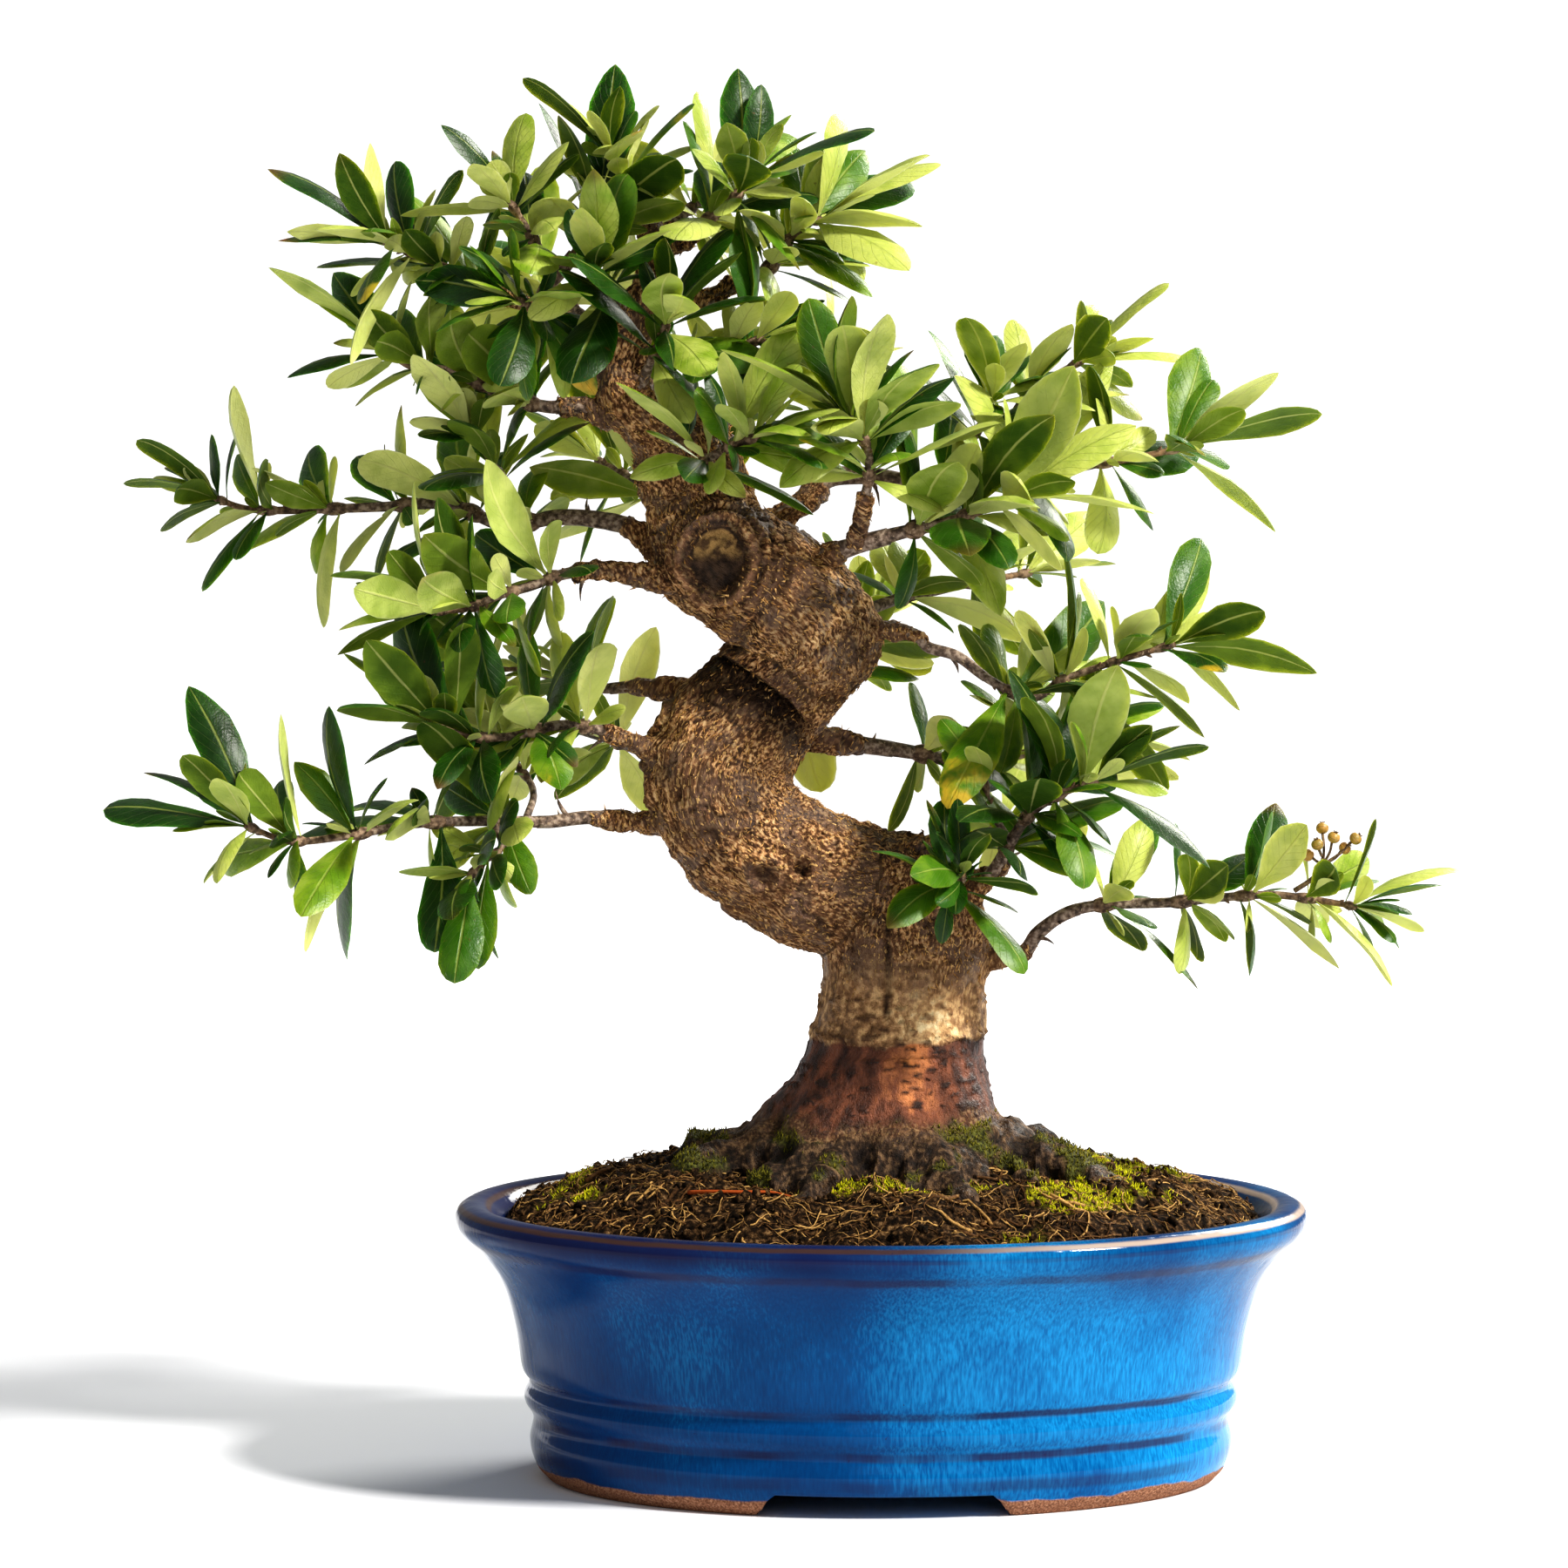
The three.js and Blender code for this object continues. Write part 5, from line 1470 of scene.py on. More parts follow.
# %% [markdown]
# ## The leaf surface
# A leaf is widest past its middle and round at the tip, with a short narrow stalk. Its surface has two
# parameters: s runs from root to tip and c from the left edge to the right. It is arched across, droops to
# its tip, bows a little sideways and has a slow wave along its edges. Its underside is a shallow keel.

# %% Leaves as rings
LEAF_STATIONS = np.array([0.02, 0.09, 0.19, 0.32, 0.46, 0.60, 0.73, 0.84, 0.92, 0.97])
LEAF_WIDTHS = np.array([0.07, 0.09, 0.25, 0.53, 0.80, 0.96, 1.00, 0.89, 0.67, 0.42])
POINTED_WIDTHS = np.array([0.07, 0.10, 0.32, 0.62, 0.86, 0.93, 0.86, 0.64, 0.40, 0.19])
RING_ACROSS = np.array([-1, -0.55, 0, 0.55, 1, 0])


def leaf_skin(leaves, tones):
    """All leaves at once. The half width at each station is the leaf's own times the outline's share, which
    lies between the round and the pointed outline. A point stands arch x half width x (1 - c^2) above its
    edges."""
    keys = ("root", "direction", "face", "length", "width", "droop", "arch")
    columns = (np.array([leaf[key] for leaf in leaves])[:, None] for key in keys)
    root, way, face, length, width, droop, arch = columns
    side = np.cross(way, face)
    s = LEAF_STATIONS[None]
    scallop = 1 + 0.025 * np.sin(9 * math.pi * s + 9 * tones[:, 2:3])
    pointed = eased(tones[:, 2:3] + 0.008 * (length - 36), 0.30, 0.62)
    half = width / 2 * (LEAF_WIDTHS + (POINTED_WIDTHS - LEAF_WIDTHS) * pointed) * scallop
    bow = length * 0.05 * np.sin(math.pi * s) * (2 * tones[:, 2:3] - 1)
    centre = root + way * (length * s)[..., None] - face * (droop * length * s**2)[..., None]
    centre = centre + side * bow[..., None]
    normal = unit(face + way * (2 * droop * s)[..., None])
    across = RING_ACROSS
    wave = 0.07 * np.sin(2.5 * math.pi * s + 20 * tones[:, 2:3])[..., None] * across * half[..., None]
    rise = (arch * half)[..., None] * (1 - across**2) + wave
    rise[..., 5] -= np.minimum(0.42, 0.8 * half)
    rings = centre[:, :, None] + side[:, :, None] * (half[..., None] * across)[..., None]
    rings = rings + normal[:, :, None] * rise[..., None]
    tips = np.stack([root[:, 0], np.stack([leaf_tip(leaf) for leaf in leaves])], axis=1)
    uv = np.stack(np.broadcast_arrays((across + 1) / 2, s[..., None]), axis=-1)
    marks = {"uv": uv, "leaf_tone": tones[:, None, None]}
    sides = [LEAF_TOP, LEAF_TOP, LEAF_TOP, LEAF_TOP, LEAF_UNDERSIDE, LEAF_UNDERSIDE]
    return loft(rings, tips, sides, marks)


def small_leaves(bough, index):
    """Young leaves that the CAD part leaves out: the rule again, at 0.3 to 0.85 of the size."""
    draw = seeded(9000 + index)
    leaves = []
    for stem in stems_of(bough, index):
        for rosette in rosettes_of(stem):
            share, turn, _, tilt, spread = rosette
            for k in range(3):
                shoot = (share, turn + 1.3, 0, tilt * 0.5 + 6, spread)
                leaves.append(leaf_at(stem, shoot, k, 0, stem["size"] * (0.3 + 0.22 * draw()), draw))
            for k in range(4):
                shoot = (share + 0.006 * k, turn + 2.9, 0, tilt + 10, spread)
                leaves.append(leaf_at(stem, shoot, k, 0, stem["size"] * (0.55 + 0.3 * draw()), draw))
    return leaves


SHADED_SPOT = (42, -40, 222)
SHADED_REACH = (40, 34, 38)


def tones_for(leaves, index, young):
    """Tint, age, chance and 1 for each leaf. Leaves to the right and the back catch the sun and are paler,
    and those of the cluster low on the front are darker."""
    random = np.random.default_rng(700 + index + (50 if young else 0))
    roots = np.array([leaf["root"] for leaf in leaves])
    chance = random.random((len(leaves), 2))
    sunny = 0.16 * eased(roots[:, 0], -160, 140) + 0.26 * eased(roots[:, 1], -45, 20) - 0.12
    sunny = sunny - 0.6 * np.exp(-(((roots - SHADED_SPOT) / SHADED_REACH) ** 2).sum(axis=1))
    parted = eased(chance[:, 0], 0.12, 0.86)
    tint = np.clip(parted**1.2 * 0.95 + sunny + (0.15 if young else 0), 0, 1)
    age = (random.random(len(leaves)) > 0.95) * (0.12 + 0.22 * random.random(len(leaves))) * (not young)
    return np.stack([tint, age, chance[:, 1], np.ones(len(leaves))], axis=1)


# %% Twigs that carry the leaves
def bud(path, share, turn, size):
    """A pointed bud: its radius is size (0.65 + t) (1 - t)^0.7, on a line that leans along the twig."""
    foot, out, _ = side_shoot(path, share, turn, 0.9)
    t = np.linspace(0, 0.95, 5)
    route = [foot, foot + out * size * 1.6, foot + out * size * 3.4]
    return tube(route, t, size * (0.65 + t) * (1 - t) ** 0.7, 5, wood_marks(0.9), finish=LEAF_WOOD)


def twig_skins(bough, index):
    """The leafy part of a bough and its forks as thin wood, a knuckle at each rosette, and buds."""
    skins = []
    for number, part in enumerate(stems_of(bough, index)):
        path, girth, start = part["path"], part["girth"], part["start"]
        thin = (girth[0], min(girth[1], 0.95))
        skins.append(stem(path, thin, start, 1, 7, 200 + 7 * index + number))
        for i, (share, turn, *_) in enumerate(rosettes_of(part)):
            radius = 1.25 * (girth[0] + (girth[1] - girth[0]) * share)
            span = 3.2 / line_length(path)
            ends = np.clip([share - 2 * span, share + span * 0.6], 0.001, 0.999)
            swell = 0.5 + 0.62 * np.sin(np.linspace(0.15, 3.0, 6))
            shares = np.linspace(*ends, 6)
            skins.append(tube(path, shares, radius * swell, 7, wood_marks(0.8), finish=LEAF_WOOD))
            for extra in range(2):
                place = share - (0.35 + 0.3 * extra) * 14 / line_length(path)
                skins.append(bud(path, max(place, 0.01), turn + 2.2 * extra, 0.75 + 0.2 * extra))
    return skins


# %% [markdown]
# Real leaves are glossy above and dull below. Colours run from a deep green to yellow-green with a leaf's
# tint, the rib and side veins are paler, and a few old leaves have turned yellow or orange with brown tips.

# %% Leaf finishes
LEAF_SHADES = [
    (0.0, (0.007, 0.036, 0.001)), (0.30, (0.020, 0.088, 0.002)), (0.56, (0.062, 0.160, 0.004)),
    (0.76, (0.19, 0.30, 0.016)), (1.0, (0.50, 0.56, 0.13)),
]
UNDERSIDE_SHADES = [(0.0, (0.045, 0.095, 0.008)), (0.45, (0.22, 0.30, 0.035)), (1.0, (0.74, 0.77, 0.28))]
TURNED_SHADES = [(0.0, (0.56, 0.45, 0.03)), (0.7, (0.62, 0.30, 0.02)), (1.0, (0.46, 0.12, 0.02))]


def vein_share(tree, uv):
    """The rib, a narrow band at u = 0.5, and side veins, stripes of v that sweep back towards the edges."""
    parts = add_node(tree, "SeparateXYZ", {0: uv})
    across = maths(tree, "ABSOLUTE", minus(tree, parts.outputs["X"], 0.5))
    rib = soft_step(tree, across, 0.042, 0.012)
    swept = minus(tree, parts.outputs["Y"], times(tree, across, 0.55))
    stripe = maths(tree, "ABSOLUTE", maths(tree, "SINE", times(tree, swept, 30.0)))
    veins = soft_step(tree, stripe, 0.16, 0.04)
    return rib, veins, parts.outputs["Y"]


def leaf_finish(name, under):
    material, tree, shader = new_finish(
        name, coat_roughness=0.30, coat_ior=1.35, specular_ior_level=0.10 if under else 0.32
    )
    shader.inputs["Subsurface Weight"].default_value = 0.25
    shader.inputs["Subsurface Radius"].default_value = (1.0, 1.0, 0.25)
    shader.inputs["Subsurface Scale"].default_value = 2 * MM
    place = place_in_mm(tree)
    uv = add_node(tree, "UVMap", uv_map="uv").outputs[0]
    tone = add_node(tree, "SeparateColor", {0: mark_at(tree, "leaf_tone", "Color")})
    tint, age, chance = (tone.outputs[i] for i in range(3))
    blotch = mottled(tree, place, scale=0.09, detail=3.0, low=0.3, high=0.72)
    varied = plus(tree, tint, times(tree, minus(tree, blotch, 0.5), 0.2), True)
    colour = shades(tree, varied, *LEAF_SHADES)
    rib, veins, towards_tip = vein_share(tree, uv)
    colour = stained(tree, colour, veins, 0.16, (0.20, 0.30, 0.05))
    colour = stained(tree, colour, rib, 0.45, (0.36, 0.42, 0.10))
    creep = plus(tree, times(tree, towards_tip, 0.8), times(tree, blotch, 0.4))
    old = soft_step(tree, plus(tree, times(tree, age, 0.8), creep), 1.04, 1.3)
    old = times(tree, old, maths(tree, "GREATER_THAN", age, 0.1))
    turned = shades(tree, chance, *TURNED_SHADES)
    colour = stained(tree, colour, old, 0.9, turned)
    spots = mottled(tree, place, scale=0.42, detail=2.0, low=0.70, high=0.77)
    worn = times(tree, soft_step(tree, towards_tip, 0.80, 1.0), soft_step(tree, chance, 0.78, 0.95))
    brown = plus(tree, times(tree, spots, 0.6), worn, True)
    colour = stained(tree, colour, brown, 0.7, (0.13, 0.05, 0.015))
    if under:
        dull = shades(tree, varied, *UNDERSIDE_SHADES)
        colour = mixed(tree, 0.7, colour, dull)
        colour = stained(tree, colour, rib, 0.4, (0.60, 0.60, 0.24))
    tree.links.new(colour, shader.inputs["Base Color"])
    gloss = between(tree, blotch, 0.34, 0.50)
    tree.links.new(plus(tree, gloss, 0.25 if under else 0.0), shader.inputs["Roughness"])
    tree.links.new(times(tree, blotch, 0.02 if under else 0.24), shader.inputs["Coat Weight"])
    sense = 0.6 if under else -1.0
    ridges = plus(tree, times(tree, veins, 0.5 * sense), times(tree, rib, sense))
    pitted = effect(tree, RELIEF, place=place, scale=0.35, fine_share=0.3)
    bump(tree, shader, plus(tree, ridges, pitted), 0.28)
    return material


LEAF_FINISHES = [leaf_finish("leaf_upper", False), leaf_finish("leaf_under", True), bark_young]


# %% One piece for each spray
def foliage_skin(bough, index):
    full, young = LEAVES[index], small_leaves(bough, index)
    return gather([
        leaf_skin(full, tones_for(full, index, False)),
        leaf_skin(young, tones_for(young, index, True)),
        *twig_skins(bough, index),
    ])


for index, bough in enumerate(BOUGHS):
    mesh = mesh_of("foliage_" + bough["name"], foliage_skin(bough, index))
    mesh.set_sharp_from_angle(angle=math.radians(70))
    add_piece("foliage_" + bough["name"], mesh, LEAF_FINISHES, ["spray_" + bough["name"]])

# %% [markdown]
# ## Berries
# The berries are unripe: tan to olive, with a dark five-toothed crown at the far end. Each is a slightly
# flattened ball whose far end dips in, on a thin stalk from the end of the bunch's main stalk.

# %% Berries and their stalks
BERRY_RADIUS = 2.2
BERRY_SQUASH = 0.92
BERRY_RINGS = 16
BERRY_SIDES = 22
BERRY_SKIN, BERRY_STALK = 0, 1
RIPE_SHADES = [(0.0, (0.26, 0.20, 0.04)), (0.5, (0.48, 0.27, 0.06)), (1.0, (0.60, 0.30, 0.08))]
BUNCH_STALK = [(141.5, -15, 204.6), (147.5, -17.5, 209), (151, -19, 214)]
BERRIES = [
    (149, -20, 221), (154.5, -21, 223.5), (158.5, -18, 219.5), (162, -20, 223), (151, -14, 226),
    (146, -17, 217),
]


def berry_skin(centre, way, number):
    """Ring radius R sin t at height -R 0.92 cos t along the berry's own direction, and the far end sinks by
    0.45 exp(-(sin t / 0.3)^2) millimetres where t is past a right angle."""
    t = np.linspace(0.12, math.pi - 0.12, BERRY_RINGS)
    sunk = 0.45 * np.exp(-((np.sin(t) / 0.3) ** 2)) * (t > math.pi / 2)
    height = -BERRY_SQUASH * BERRY_RADIUS * np.cos(t) - sunk
    reach = BERRY_RADIUS * np.sin(t)[:, None, None]
    around = spokes(*square_to(way), full_turn(BERRY_SIDES))
    rings = centre + way * height[:, None, None] + around * reach
    tips = centre + way * np.array([[-BERRY_SQUASH * BERRY_RADIUS], [BERRY_SQUASH * BERRY_RADIUS - 0.5]])
    grid = (BERRY_RINGS, BERRY_SIDES, 1)
    crown = np.broadcast_to((np.sin(t) * np.where(t > math.pi / 2, 1, -1))[:, None, None], grid)
    chance = np.full(grid, (number * 0.37) % 1)
    marks = {"berry_tone": np.concatenate([crown, chance, crown * 0], axis=-1)[None]}
    return loft(rings[None], tips[None], BERRY_SKIN, marks)


def crown_teeth(centre, way):
    """Five small dry teeth that stand round the far end and lean outwards."""
    upward, sideways = square_to(way)
    foot = centre + way * (BERRY_SQUASH * BERRY_RADIUS - 0.35)
    teeth = []
    for turn in full_turn(5):
        out = upward * math.cos(turn) + sideways * math.sin(turn)
        route = [foot + out * 0.35, foot + out * 0.6 + way * 0.45, foot + out * 0.95 + way * 0.7]
        teeth.append(tube(route, np.linspace(0, 1, 4), [0.3, 0.28, 0.18, 0.05], 5, finish=BERRY_STALK))
    return teeth


hub = np.array(BUNCH_STALK[-1], float)
bunch = [tube(BUNCH_STALK, np.linspace(0, 1, 8), np.linspace(0.9, 0.75, 8), 8, finish=BERRY_STALK)]
for number, spot in enumerate(BERRIES):
    centre = np.array(spot, float)
    way = unit(centre - hub)
    bend = (hub + centre) / 2 + (0.4, -0.3, -0.5)
    route = [hub, bend, centre - way * 1.9]
    bunch.append(tube(route, np.linspace(0, 1, 7), np.full(7, 0.5), 6, finish=BERRY_STALK))
    bunch.append(berry_skin(centre, way, number))
    bunch += crown_teeth(centre, way)


def berry_finish():
    material, tree, shader = new_finish("berry_skin", roughness=0.36)
    place = place_in_mm(tree)
    tone = add_node(tree, "SeparateXYZ", {0: mark_at(tree, "berry_tone", "Vector")})
    end, chance = tone.outputs[0], tone.outputs[1]
    blotch = mottled(tree, place, scale=0.7, detail=3.0, low=0.3, high=0.7)
    ripe = plus(tree, times(tree, chance, 0.6), times(tree, blotch, 0.4))
    colour = shades(tree, ripe, *RIPE_SHADES)
    far = soft_step(tree, maths(tree, "ABSOLUTE", end), 0.42, 0.2)
    colour = stained(tree, colour, far, 0.8, (0.05, 0.025, 0.012))
    tree.links.new(colour, shader.inputs["Base Color"])
    bump(tree, shader, effect(tree, RELIEF, place=place, scale=1.4, fine_share=0.3), 0.12)
    return material


def dry_finish():
    material, tree, shader = new_finish("stalk_dry", roughness=0.7)
    grain = mottled(tree, place_in_mm(tree), scale=1.2, detail=3.0, low=0.35, high=0.7)
    tree.links.new(mixed(tree, grain, (0.07, 0.035, 0.018), (0.24, 0.15, 0.07)), shader.inputs["Base Color"])
    return material


berry_mesh = mesh_of("berries", gather(bunch))
add_piece("berries", berry_mesh, [berry_finish(), dry_finish()], ["berry_bunch"])

# %% [markdown]
# ## The soil
# The soil is a mound whose height falls from the trunk to the lip. Its skin is a grid of rings, lifted by
# noise in three sizes. On top lie loose crumbs, dead roots like tangled hair, and moss that grows most on
# the right side, and on the root flare. Moss is thousands of single blades, each a thin spike with four
# faces.

# %% The mound
SOIL_PROFILE = np.array([
    (0, 111), (40, 110), (74, 107.5), (102, 102), (118, 96.5), (124, 93.5), (130, 89), (134, 86),
], float)
SOIL_REACH = 131
# The heights of the two outer rings, which stand out of sight against the pot's wall.
SOIL_SKIRT = [[80], [87]]
CROWN_X = 3


def soil_level(x, y):
    """The profile's height at the oval distance from the middle, plus two slow waves."""
    away = np.hypot(x, y / POT_DEPTH_SHARE)
    waves = 1.1 * np.sin(0.11 * x + 0.07 * y) + 0.9 * np.sin(0.19 * y - 0.13 * x)
    return np.interp(away, SOIL_PROFILE[:, 0], SOIL_PROFILE[:, 1]) + waves


def ground_noise(x, y, size, octaves, seed):
    """Noise over the ground, at any array of places."""
    spots = np.stack([x, y, 0 * x], axis=-1).reshape(-1, 3)
    return rough(spots, size, octaves, seed).reshape(x.shape)


def soil_top(x, y):
    """The level with lumps of 14 mm, clods of 5 mm and grains of 2.4 mm."""
    lumps = 2.2 * ground_noise(x, y, 14, 2, 81) + 1.8 * np.abs(ground_noise(x, y, 5, 2, 82))
    return soil_level(x, y) + (lumps + 0.8 * ground_noise(x, y, 2.4, 1, 83))


def moss_share(x, y):
    """How mossy the soil is: a wide patch on the right, a thin one on the left rim and a ring at the trunk's
    foot, all broken up by noise."""
    noise = ground_noise(x, y, 13, 3, 84)
    right = np.exp(-(((x - 68) / 33) ** 2) - ((y + 12) / 60) ** 2)
    left = 0.4 * np.exp(-(((x + 104) / 14) ** 2) - ((y + 12) / 40) ** 2)
    trunk_foot = 0.45 * np.exp(-(((np.hypot(x - CROWN_X, y) - 62) / 9) ** 2))
    return eased(np.maximum(np.maximum(right, left), trunk_foot) + 0.55 * noise, 0.42, 0.72)


def soil_skin(turns=320, rings=108):
    """Rings of the mound, from the pot's wall in to 38 mm from the middle, under the trunk's flare."""
    angle = full_turn(turns)
    inward = SOIL_REACH - 1 - np.linspace(0, 1, rings) * 92
    reach = np.concatenate([[SOIL_REACH - 8, SOIL_REACH], inward])[:, None]
    x, y = reach * np.cos(angle), POT_DEPTH_SHARE * reach * np.sin(angle)
    z = soil_top(x, y)
    z[:2] = SOIL_SKIRT
    marks = {"mossy": moss_share(x, y)[None, ..., None]}
    return loft(np.stack([x, y, z], axis=-1)[None], None, 0, marks)


soil = soil_skin()
print("soil points:", len(soil.points), "highest, mm:", round(soil.points[:, 2].max(), 1))

# %% Crumbs and bits lying on it
GOLDEN = (1 + math.sqrt(5)) / 2
LUMP_POINTS = unit(np.array([
    (-1, GOLDEN, 0), (1, GOLDEN, 0), (-1, -GOLDEN, 0), (1, -GOLDEN, 0), (0, -1, GOLDEN), (0, 1, GOLDEN),
    (0, -1, -GOLDEN), (0, 1, -GOLDEN), (GOLDEN, 0, -1), (GOLDEN, 0, 1), (-GOLDEN, 0, -1), (-GOLDEN, 0, 1),
], float))
LUMP_FACES = np.array([
    (0, 11, 5), (0, 5, 1), (0, 1, 7), (0, 7, 10), (0, 10, 11), (1, 5, 9), (5, 11, 4), (11, 10, 2),
    (10, 7, 6), (7, 1, 8), (3, 9, 4), (3, 4, 2), (3, 2, 6), (3, 6, 8), (3, 8, 9), (4, 9, 5), (2, 4, 11),
    (6, 2, 10), (8, 6, 7), (9, 8, 1),
])


CLEAR_OF_CROWN = 50


def scattered(random, count):
    """Random places on the mound, even over the oval, without those under the trunk."""
    away = SOIL_REACH * np.sqrt(random.random(count)) * 0.985
    angle = random.random(count) * 2 * math.pi
    x, y = away * np.cos(angle), POT_DEPTH_SHARE * away * np.sin(angle)
    clear = np.hypot(x - CROWN_X, y) > CLEAR_OF_CROWN
    return x[clear], y[clear]


def crumbs(count, small, large, seed, finish):
    """Lumps: a ball of twenty faces, its corners moved by up to 40%, squashed and turned at random."""
    random = np.random.default_rng(seed)
    x, y = scattered(random, count)
    count = len(x)
    size = small + (large - small) * random.random(count) ** 3
    corners = LUMP_POINTS[None] * (1 + 0.8 * (random.random((count, 12)) - 0.5))[..., None]
    corners = corners * (0.6 + 0.7 * random.random((count, 1, 3)))
    turn = random.random(count) * 2 * math.pi
    turned = np.stack([
        corners[..., 0] * np.cos(turn)[:, None] - corners[..., 1] * np.sin(turn)[:, None],
        corners[..., 0] * np.sin(turn)[:, None] + corners[..., 1] * np.cos(turn)[:, None],
        corners[..., 2],
    ], axis=-1) * size[:, None, None]
    middle = np.stack([x, y, soil_top(x, y) + 0.35 * size], axis=-1)
    return bits_skin(LUMP_FACES, middle[:, None] + turned, finish, random.random(count))


SOIL_EARTH, SOIL_LITTER, SOIL_MOSS, SOIL_ROOT, ROOT_MOSS = range(5)
litter = [crumbs(1700, 0.5, 2.2, 901, SOIL_EARTH), crumbs(160, 0.5, 1.6, 902, SOIL_LITTER)]


# %% Dead roots
def fibres(count, reach, radius, seed, finish):
    """Curled threads: each walks from a random place in a direction that turns steadily and at random, and
    lies on the soil with a slow rise and fall. All are rings of three points along their walks."""
    random = np.random.default_rng(seed)
    x, y = scattered(random, count)
    count, steps = len(x), 9
    heading = random.random(count)[:, None] * 2 * math.pi
    curl = (random.random(count) - 0.5)[:, None] * 0.5 + 0.35 * (random.random((count, steps)) - 0.5)
    heading = heading + curl.cumsum(axis=1)
    stride = (reach[0] + (reach[1] - reach[0]) * random.random(count) ** 2)[:, None] / steps
    x = x[:, None] + (stride * np.cos(heading)).cumsum(axis=1)
    y = y[:, None] + (stride * np.sin(heading)).cumsum(axis=1)
    away = np.hypot(x, y / POT_DEPTH_SHARE)
    pull = np.minimum(1, (SOIL_REACH - 3) / away)
    x, y = x * pull, y * pull
    phase = random.random(count)[:, None] * 6
    arch = 1.6 * random.random(count)[:, None] * np.sin(np.linspace(0, 2.6, steps) + phase)
    z = soil_top(x, y) + 0.5 + arch
    centres = np.stack([x, y, z], axis=-1)
    along = unit(np.gradient(centres, axis=1))
    taper = radius * (0.6 + 0.8 * random.random(count))[:, None] * np.linspace(1, 0.35, steps)
    rings = centres[:, :, None] + spokes(*square_to(along), full_turn(3)) * taper[..., None, None]
    tone = np.broadcast_to(random.random(count)[:, None, None, None], (count, steps, 3, 1))
    return loft(rings, None, finish, {"tone": tone})


litter += [
    fibres(2500, (5, 22), 0.24, 911, SOIL_LITTER),
    fibres(520, (6, 24), 0.4, 912, SOIL_LITTER),
    fibres(70, (14, 40), 0.7, 913, SOIL_LITTER),
]
ORANGE_ROOT = np.array([(-66, -52), (-58, -58), (-47, -60), (-38, -57), (-29, -60), (-20, -57)], float)
orange_x, orange_y = ORANGE_ROOT.T
orange_path = np.stack([orange_x, orange_y, soil_top(orange_x, orange_y) + 1.2], axis=1)
litter.append(tube(orange_path, np.linspace(0, 1, 26), np.linspace(0.8, 0.35, 26), 8, finish=SOIL_ROOT))


# %% Moss
def moss_blades(foot, random, finish):
    """Slivers about 2 mm long that stand up and lean to all sides."""
    count = len(foot)
    way = unit(UP + 0.45 * random.normal(size=(count, 3)))
    length = 1.0 + 1.5 * random.random(count)
    width = 0.18 + 0.14 * random.random(count)
    return slivers(foot, way, length, width, random, finish)


def soil_moss(count):
    random = np.random.default_rng(921)
    x, y = scattered(random, count)
    grows = random.random(len(x)) < moss_share(x, y)
    x, y = x[grows], y[grows]
    return moss_blades(np.stack([x, y, soil_top(x, y)], axis=1), random, SOIL_MOSS)


moss = soil_moss(42000)
print("litter points:", sum(len(skin.points) for skin in litter), "moss blades:", len(moss.points) // 4)


# %% Soil, litter and moss finishes
EARTH_SHADES = [
    (0.0, (0.005, 0.003, 0.002)), (0.45, (0.026, 0.014, 0.006)), (0.8, (0.11, 0.060, 0.026)),
    (1.0, (0.30, 0.18, 0.08)),
]
MOSSY_SHADES = [(0.0, (0.04, 0.04, 0.003)), (0.6, (0.22, 0.22, 0.008)), (1.0, (0.46, 0.42, 0.02))]
LITTER_SHADES = [(0.0, (0.02, 0.009, 0.003)), (0.45, (0.12, 0.056, 0.018)), (1.0, (0.72, 0.44, 0.15))]
GREEN_SHADES = [(0.0, (0.14, 0.15, 0.004)), (0.5, (0.50, 0.49, 0.006)), (1.0, (0.92, 0.88, 0.02))]
ORANGE_SHADES = [(0.0, (0.36, 0.07, 0.012)), (1.0, (0.50, 0.13, 0.03))]
OLIVE_SHADES = [(0.0, (0.040, 0.040, 0.006)), (0.5, (0.13, 0.12, 0.010)), (1.0, (0.34, 0.30, 0.03))]


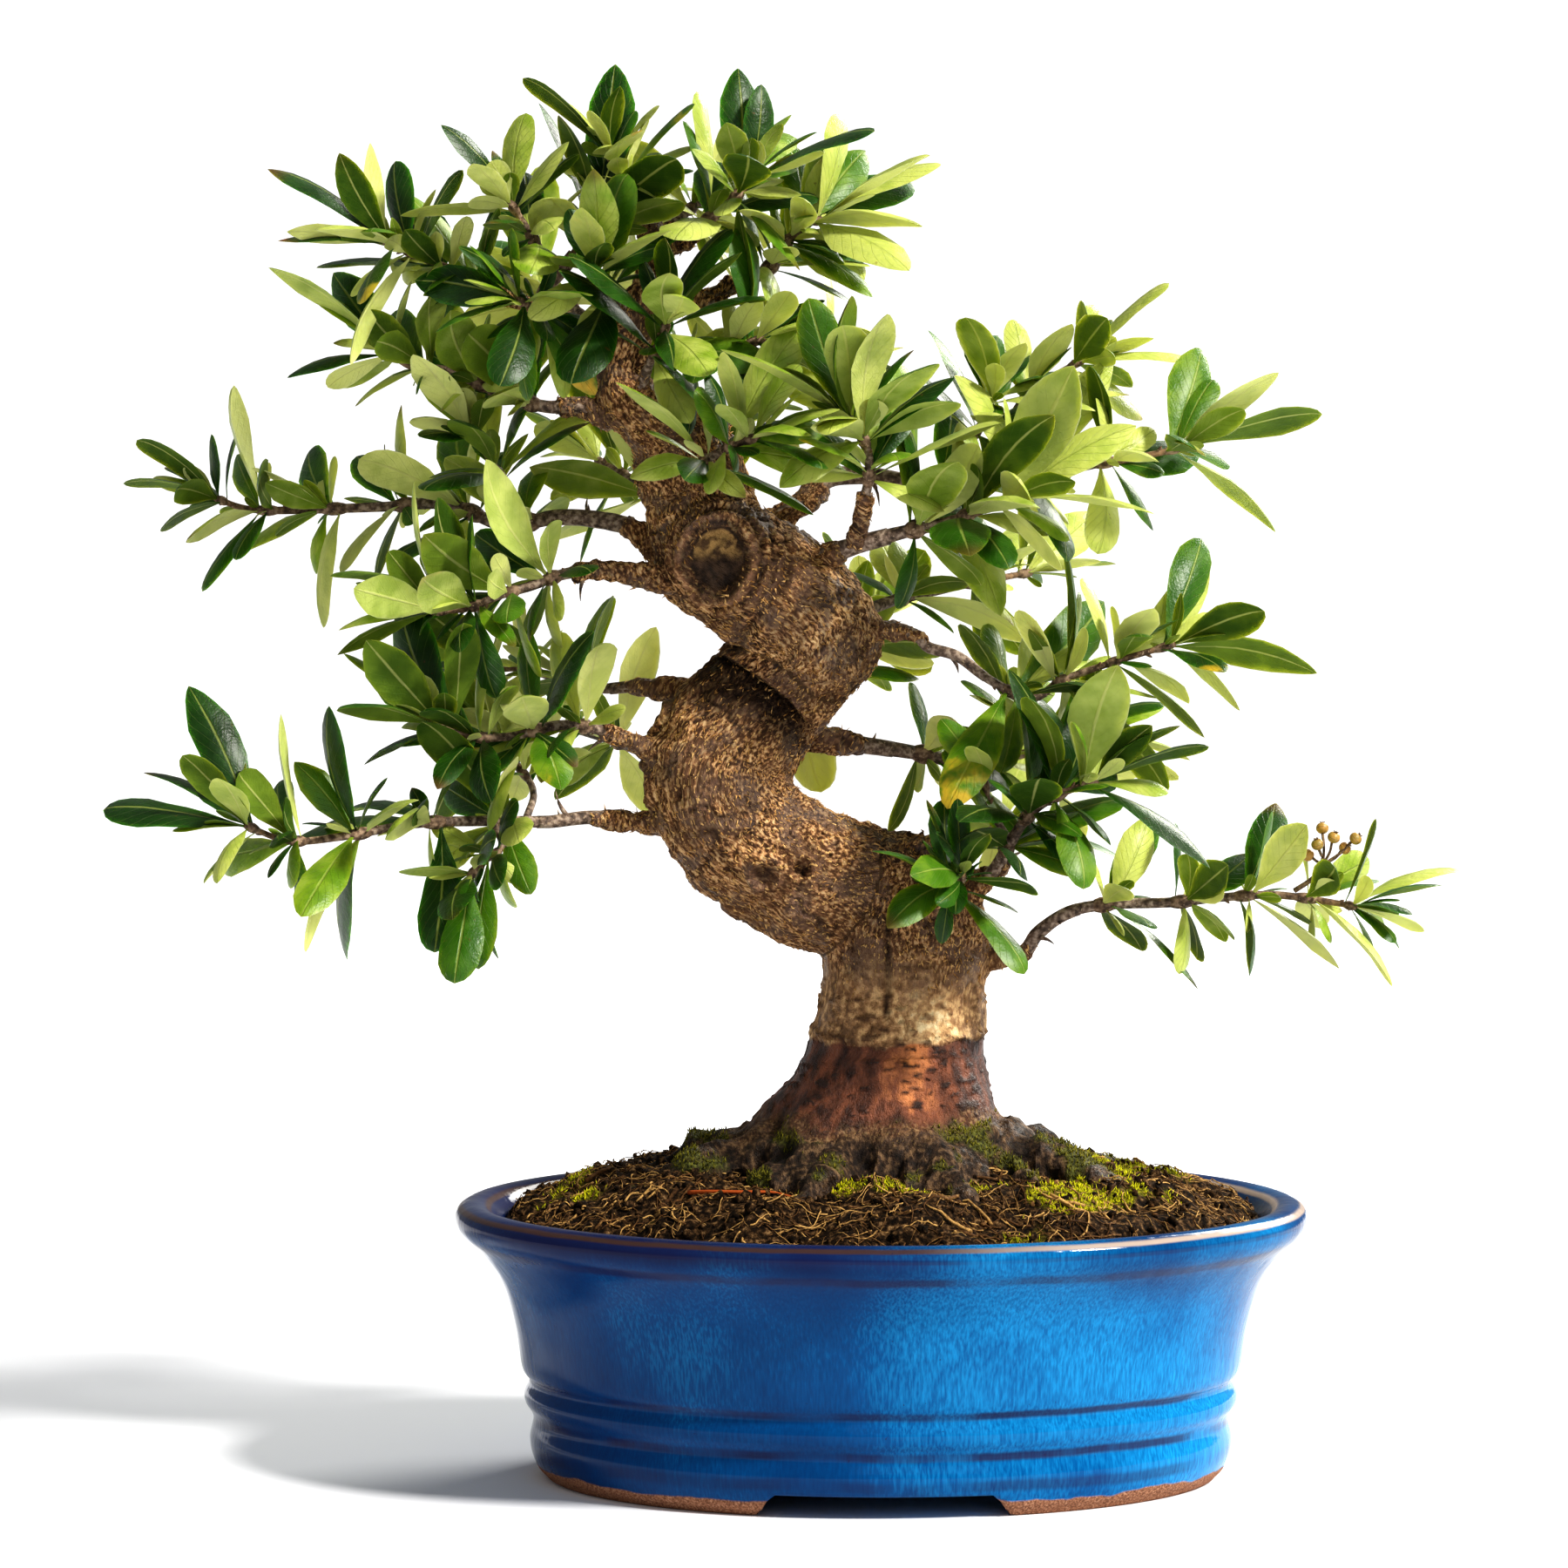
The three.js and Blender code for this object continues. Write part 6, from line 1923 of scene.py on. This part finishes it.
def earth_finish():
    material, tree, shader = new_finish("soil_earth", roughness=0.92, specular_ior_level=0.1)
    place = place_in_mm(tree)
    mossy = mark_at(tree, "mossy", "Fac")
    grain = mottled(tree, place, scale=0.5, detail=8.0, low=0.3, high=0.75)
    colour = shades(tree, grain, *EARTH_SHADES)
    green = mottled(tree, place, scale=0.7, detail=6.0, low=0.3, high=0.7)
    moss_colour = shades(tree, green, *MOSSY_SHADES)
    tree.links.new(mixed(tree, mossy, colour, moss_colour), shader.inputs["Base Color"])
    bump(tree, shader, effect(tree, RELIEF, place=place, scale=0.8, fine_share=0.6), 1.1)
    return material


SOIL_FINISHES = [
    earth_finish(),
    tone_finish("litter_dry", *LITTER_SHADES),
    tone_finish("moss_green", *GREEN_SHADES),
    tone_finish("root_orange", *ORANGE_SHADES),
    tone_finish("moss_olive", *OLIVE_SHADES),
]
add_piece("soil_bed", mesh_of("soil_bed", soil), SOIL_FINISHES, ["soil"])
add_piece("soil_litter", mesh_of("soil_litter", gather(litter)), SOIL_FINISHES, ["soil"])
add_piece("soil_moss", mesh_of("soil_moss", moss), SOIL_FINISHES, ["soil"])

# %% [markdown]
# The moss on the root flare grows on bark that faces up, so its blades start at points of the bark itself.

# %% Moss on the roots
def bark_moss(count):
    random = np.random.default_rng(931)
    likely = moss_zone * eased(bark_normals[:, 2], -0.2, 0.5)
    picked = random.choice(len(carved), count, p=likely / likely.sum())
    spots = carved[picked] + 0.5 * (random.random((count, 3)) - 0.5)
    return moss_blades(spots, random, 0)


add_piece("moss_roots", mesh_of("moss_roots", bark_moss(2600)), [SOIL_FINISHES[ROOT_MOSS]], ["soil"])

# %% [markdown]
# ## Floor
# The floor is one flat, nearly white sheet that runs out of sight on every side. It isn't part of the
# object.

# %% Lay the floor
FLOOR_HALF = 160
floor_mesh = bpy.data.meshes.new("floor")
corners = [(x * FLOOR_HALF, y * FLOOR_HALF, 0) for x, y in ((-1, -1), (1, -1), (1, 1), (-1, 1))]
floor_mesh.from_pydata(corners, [], [(0, 1, 2, 3)])


def floor_finish():
    material, tree, shader = new_finish("floor_paper", roughness=0.75, specular_ior_level=0.2)
    grain = mottled(tree, place_in_mm(tree), scale=0.004, detail=3.0, low=0.2, high=0.8)
    tree.links.new(mixed(tree, grain, (0.85, 0.87, 0.92), (0.87, 0.89, 0.94)), shader.inputs["Base Color"])
    return material


floor = bpy.data.objects.new("floor", floor_mesh)
floor_mesh.materials.append(floor_finish())
bpy.context.scene.collection.objects.link(floor)
print("floor, m:", 2 * FLOOR_HALF)
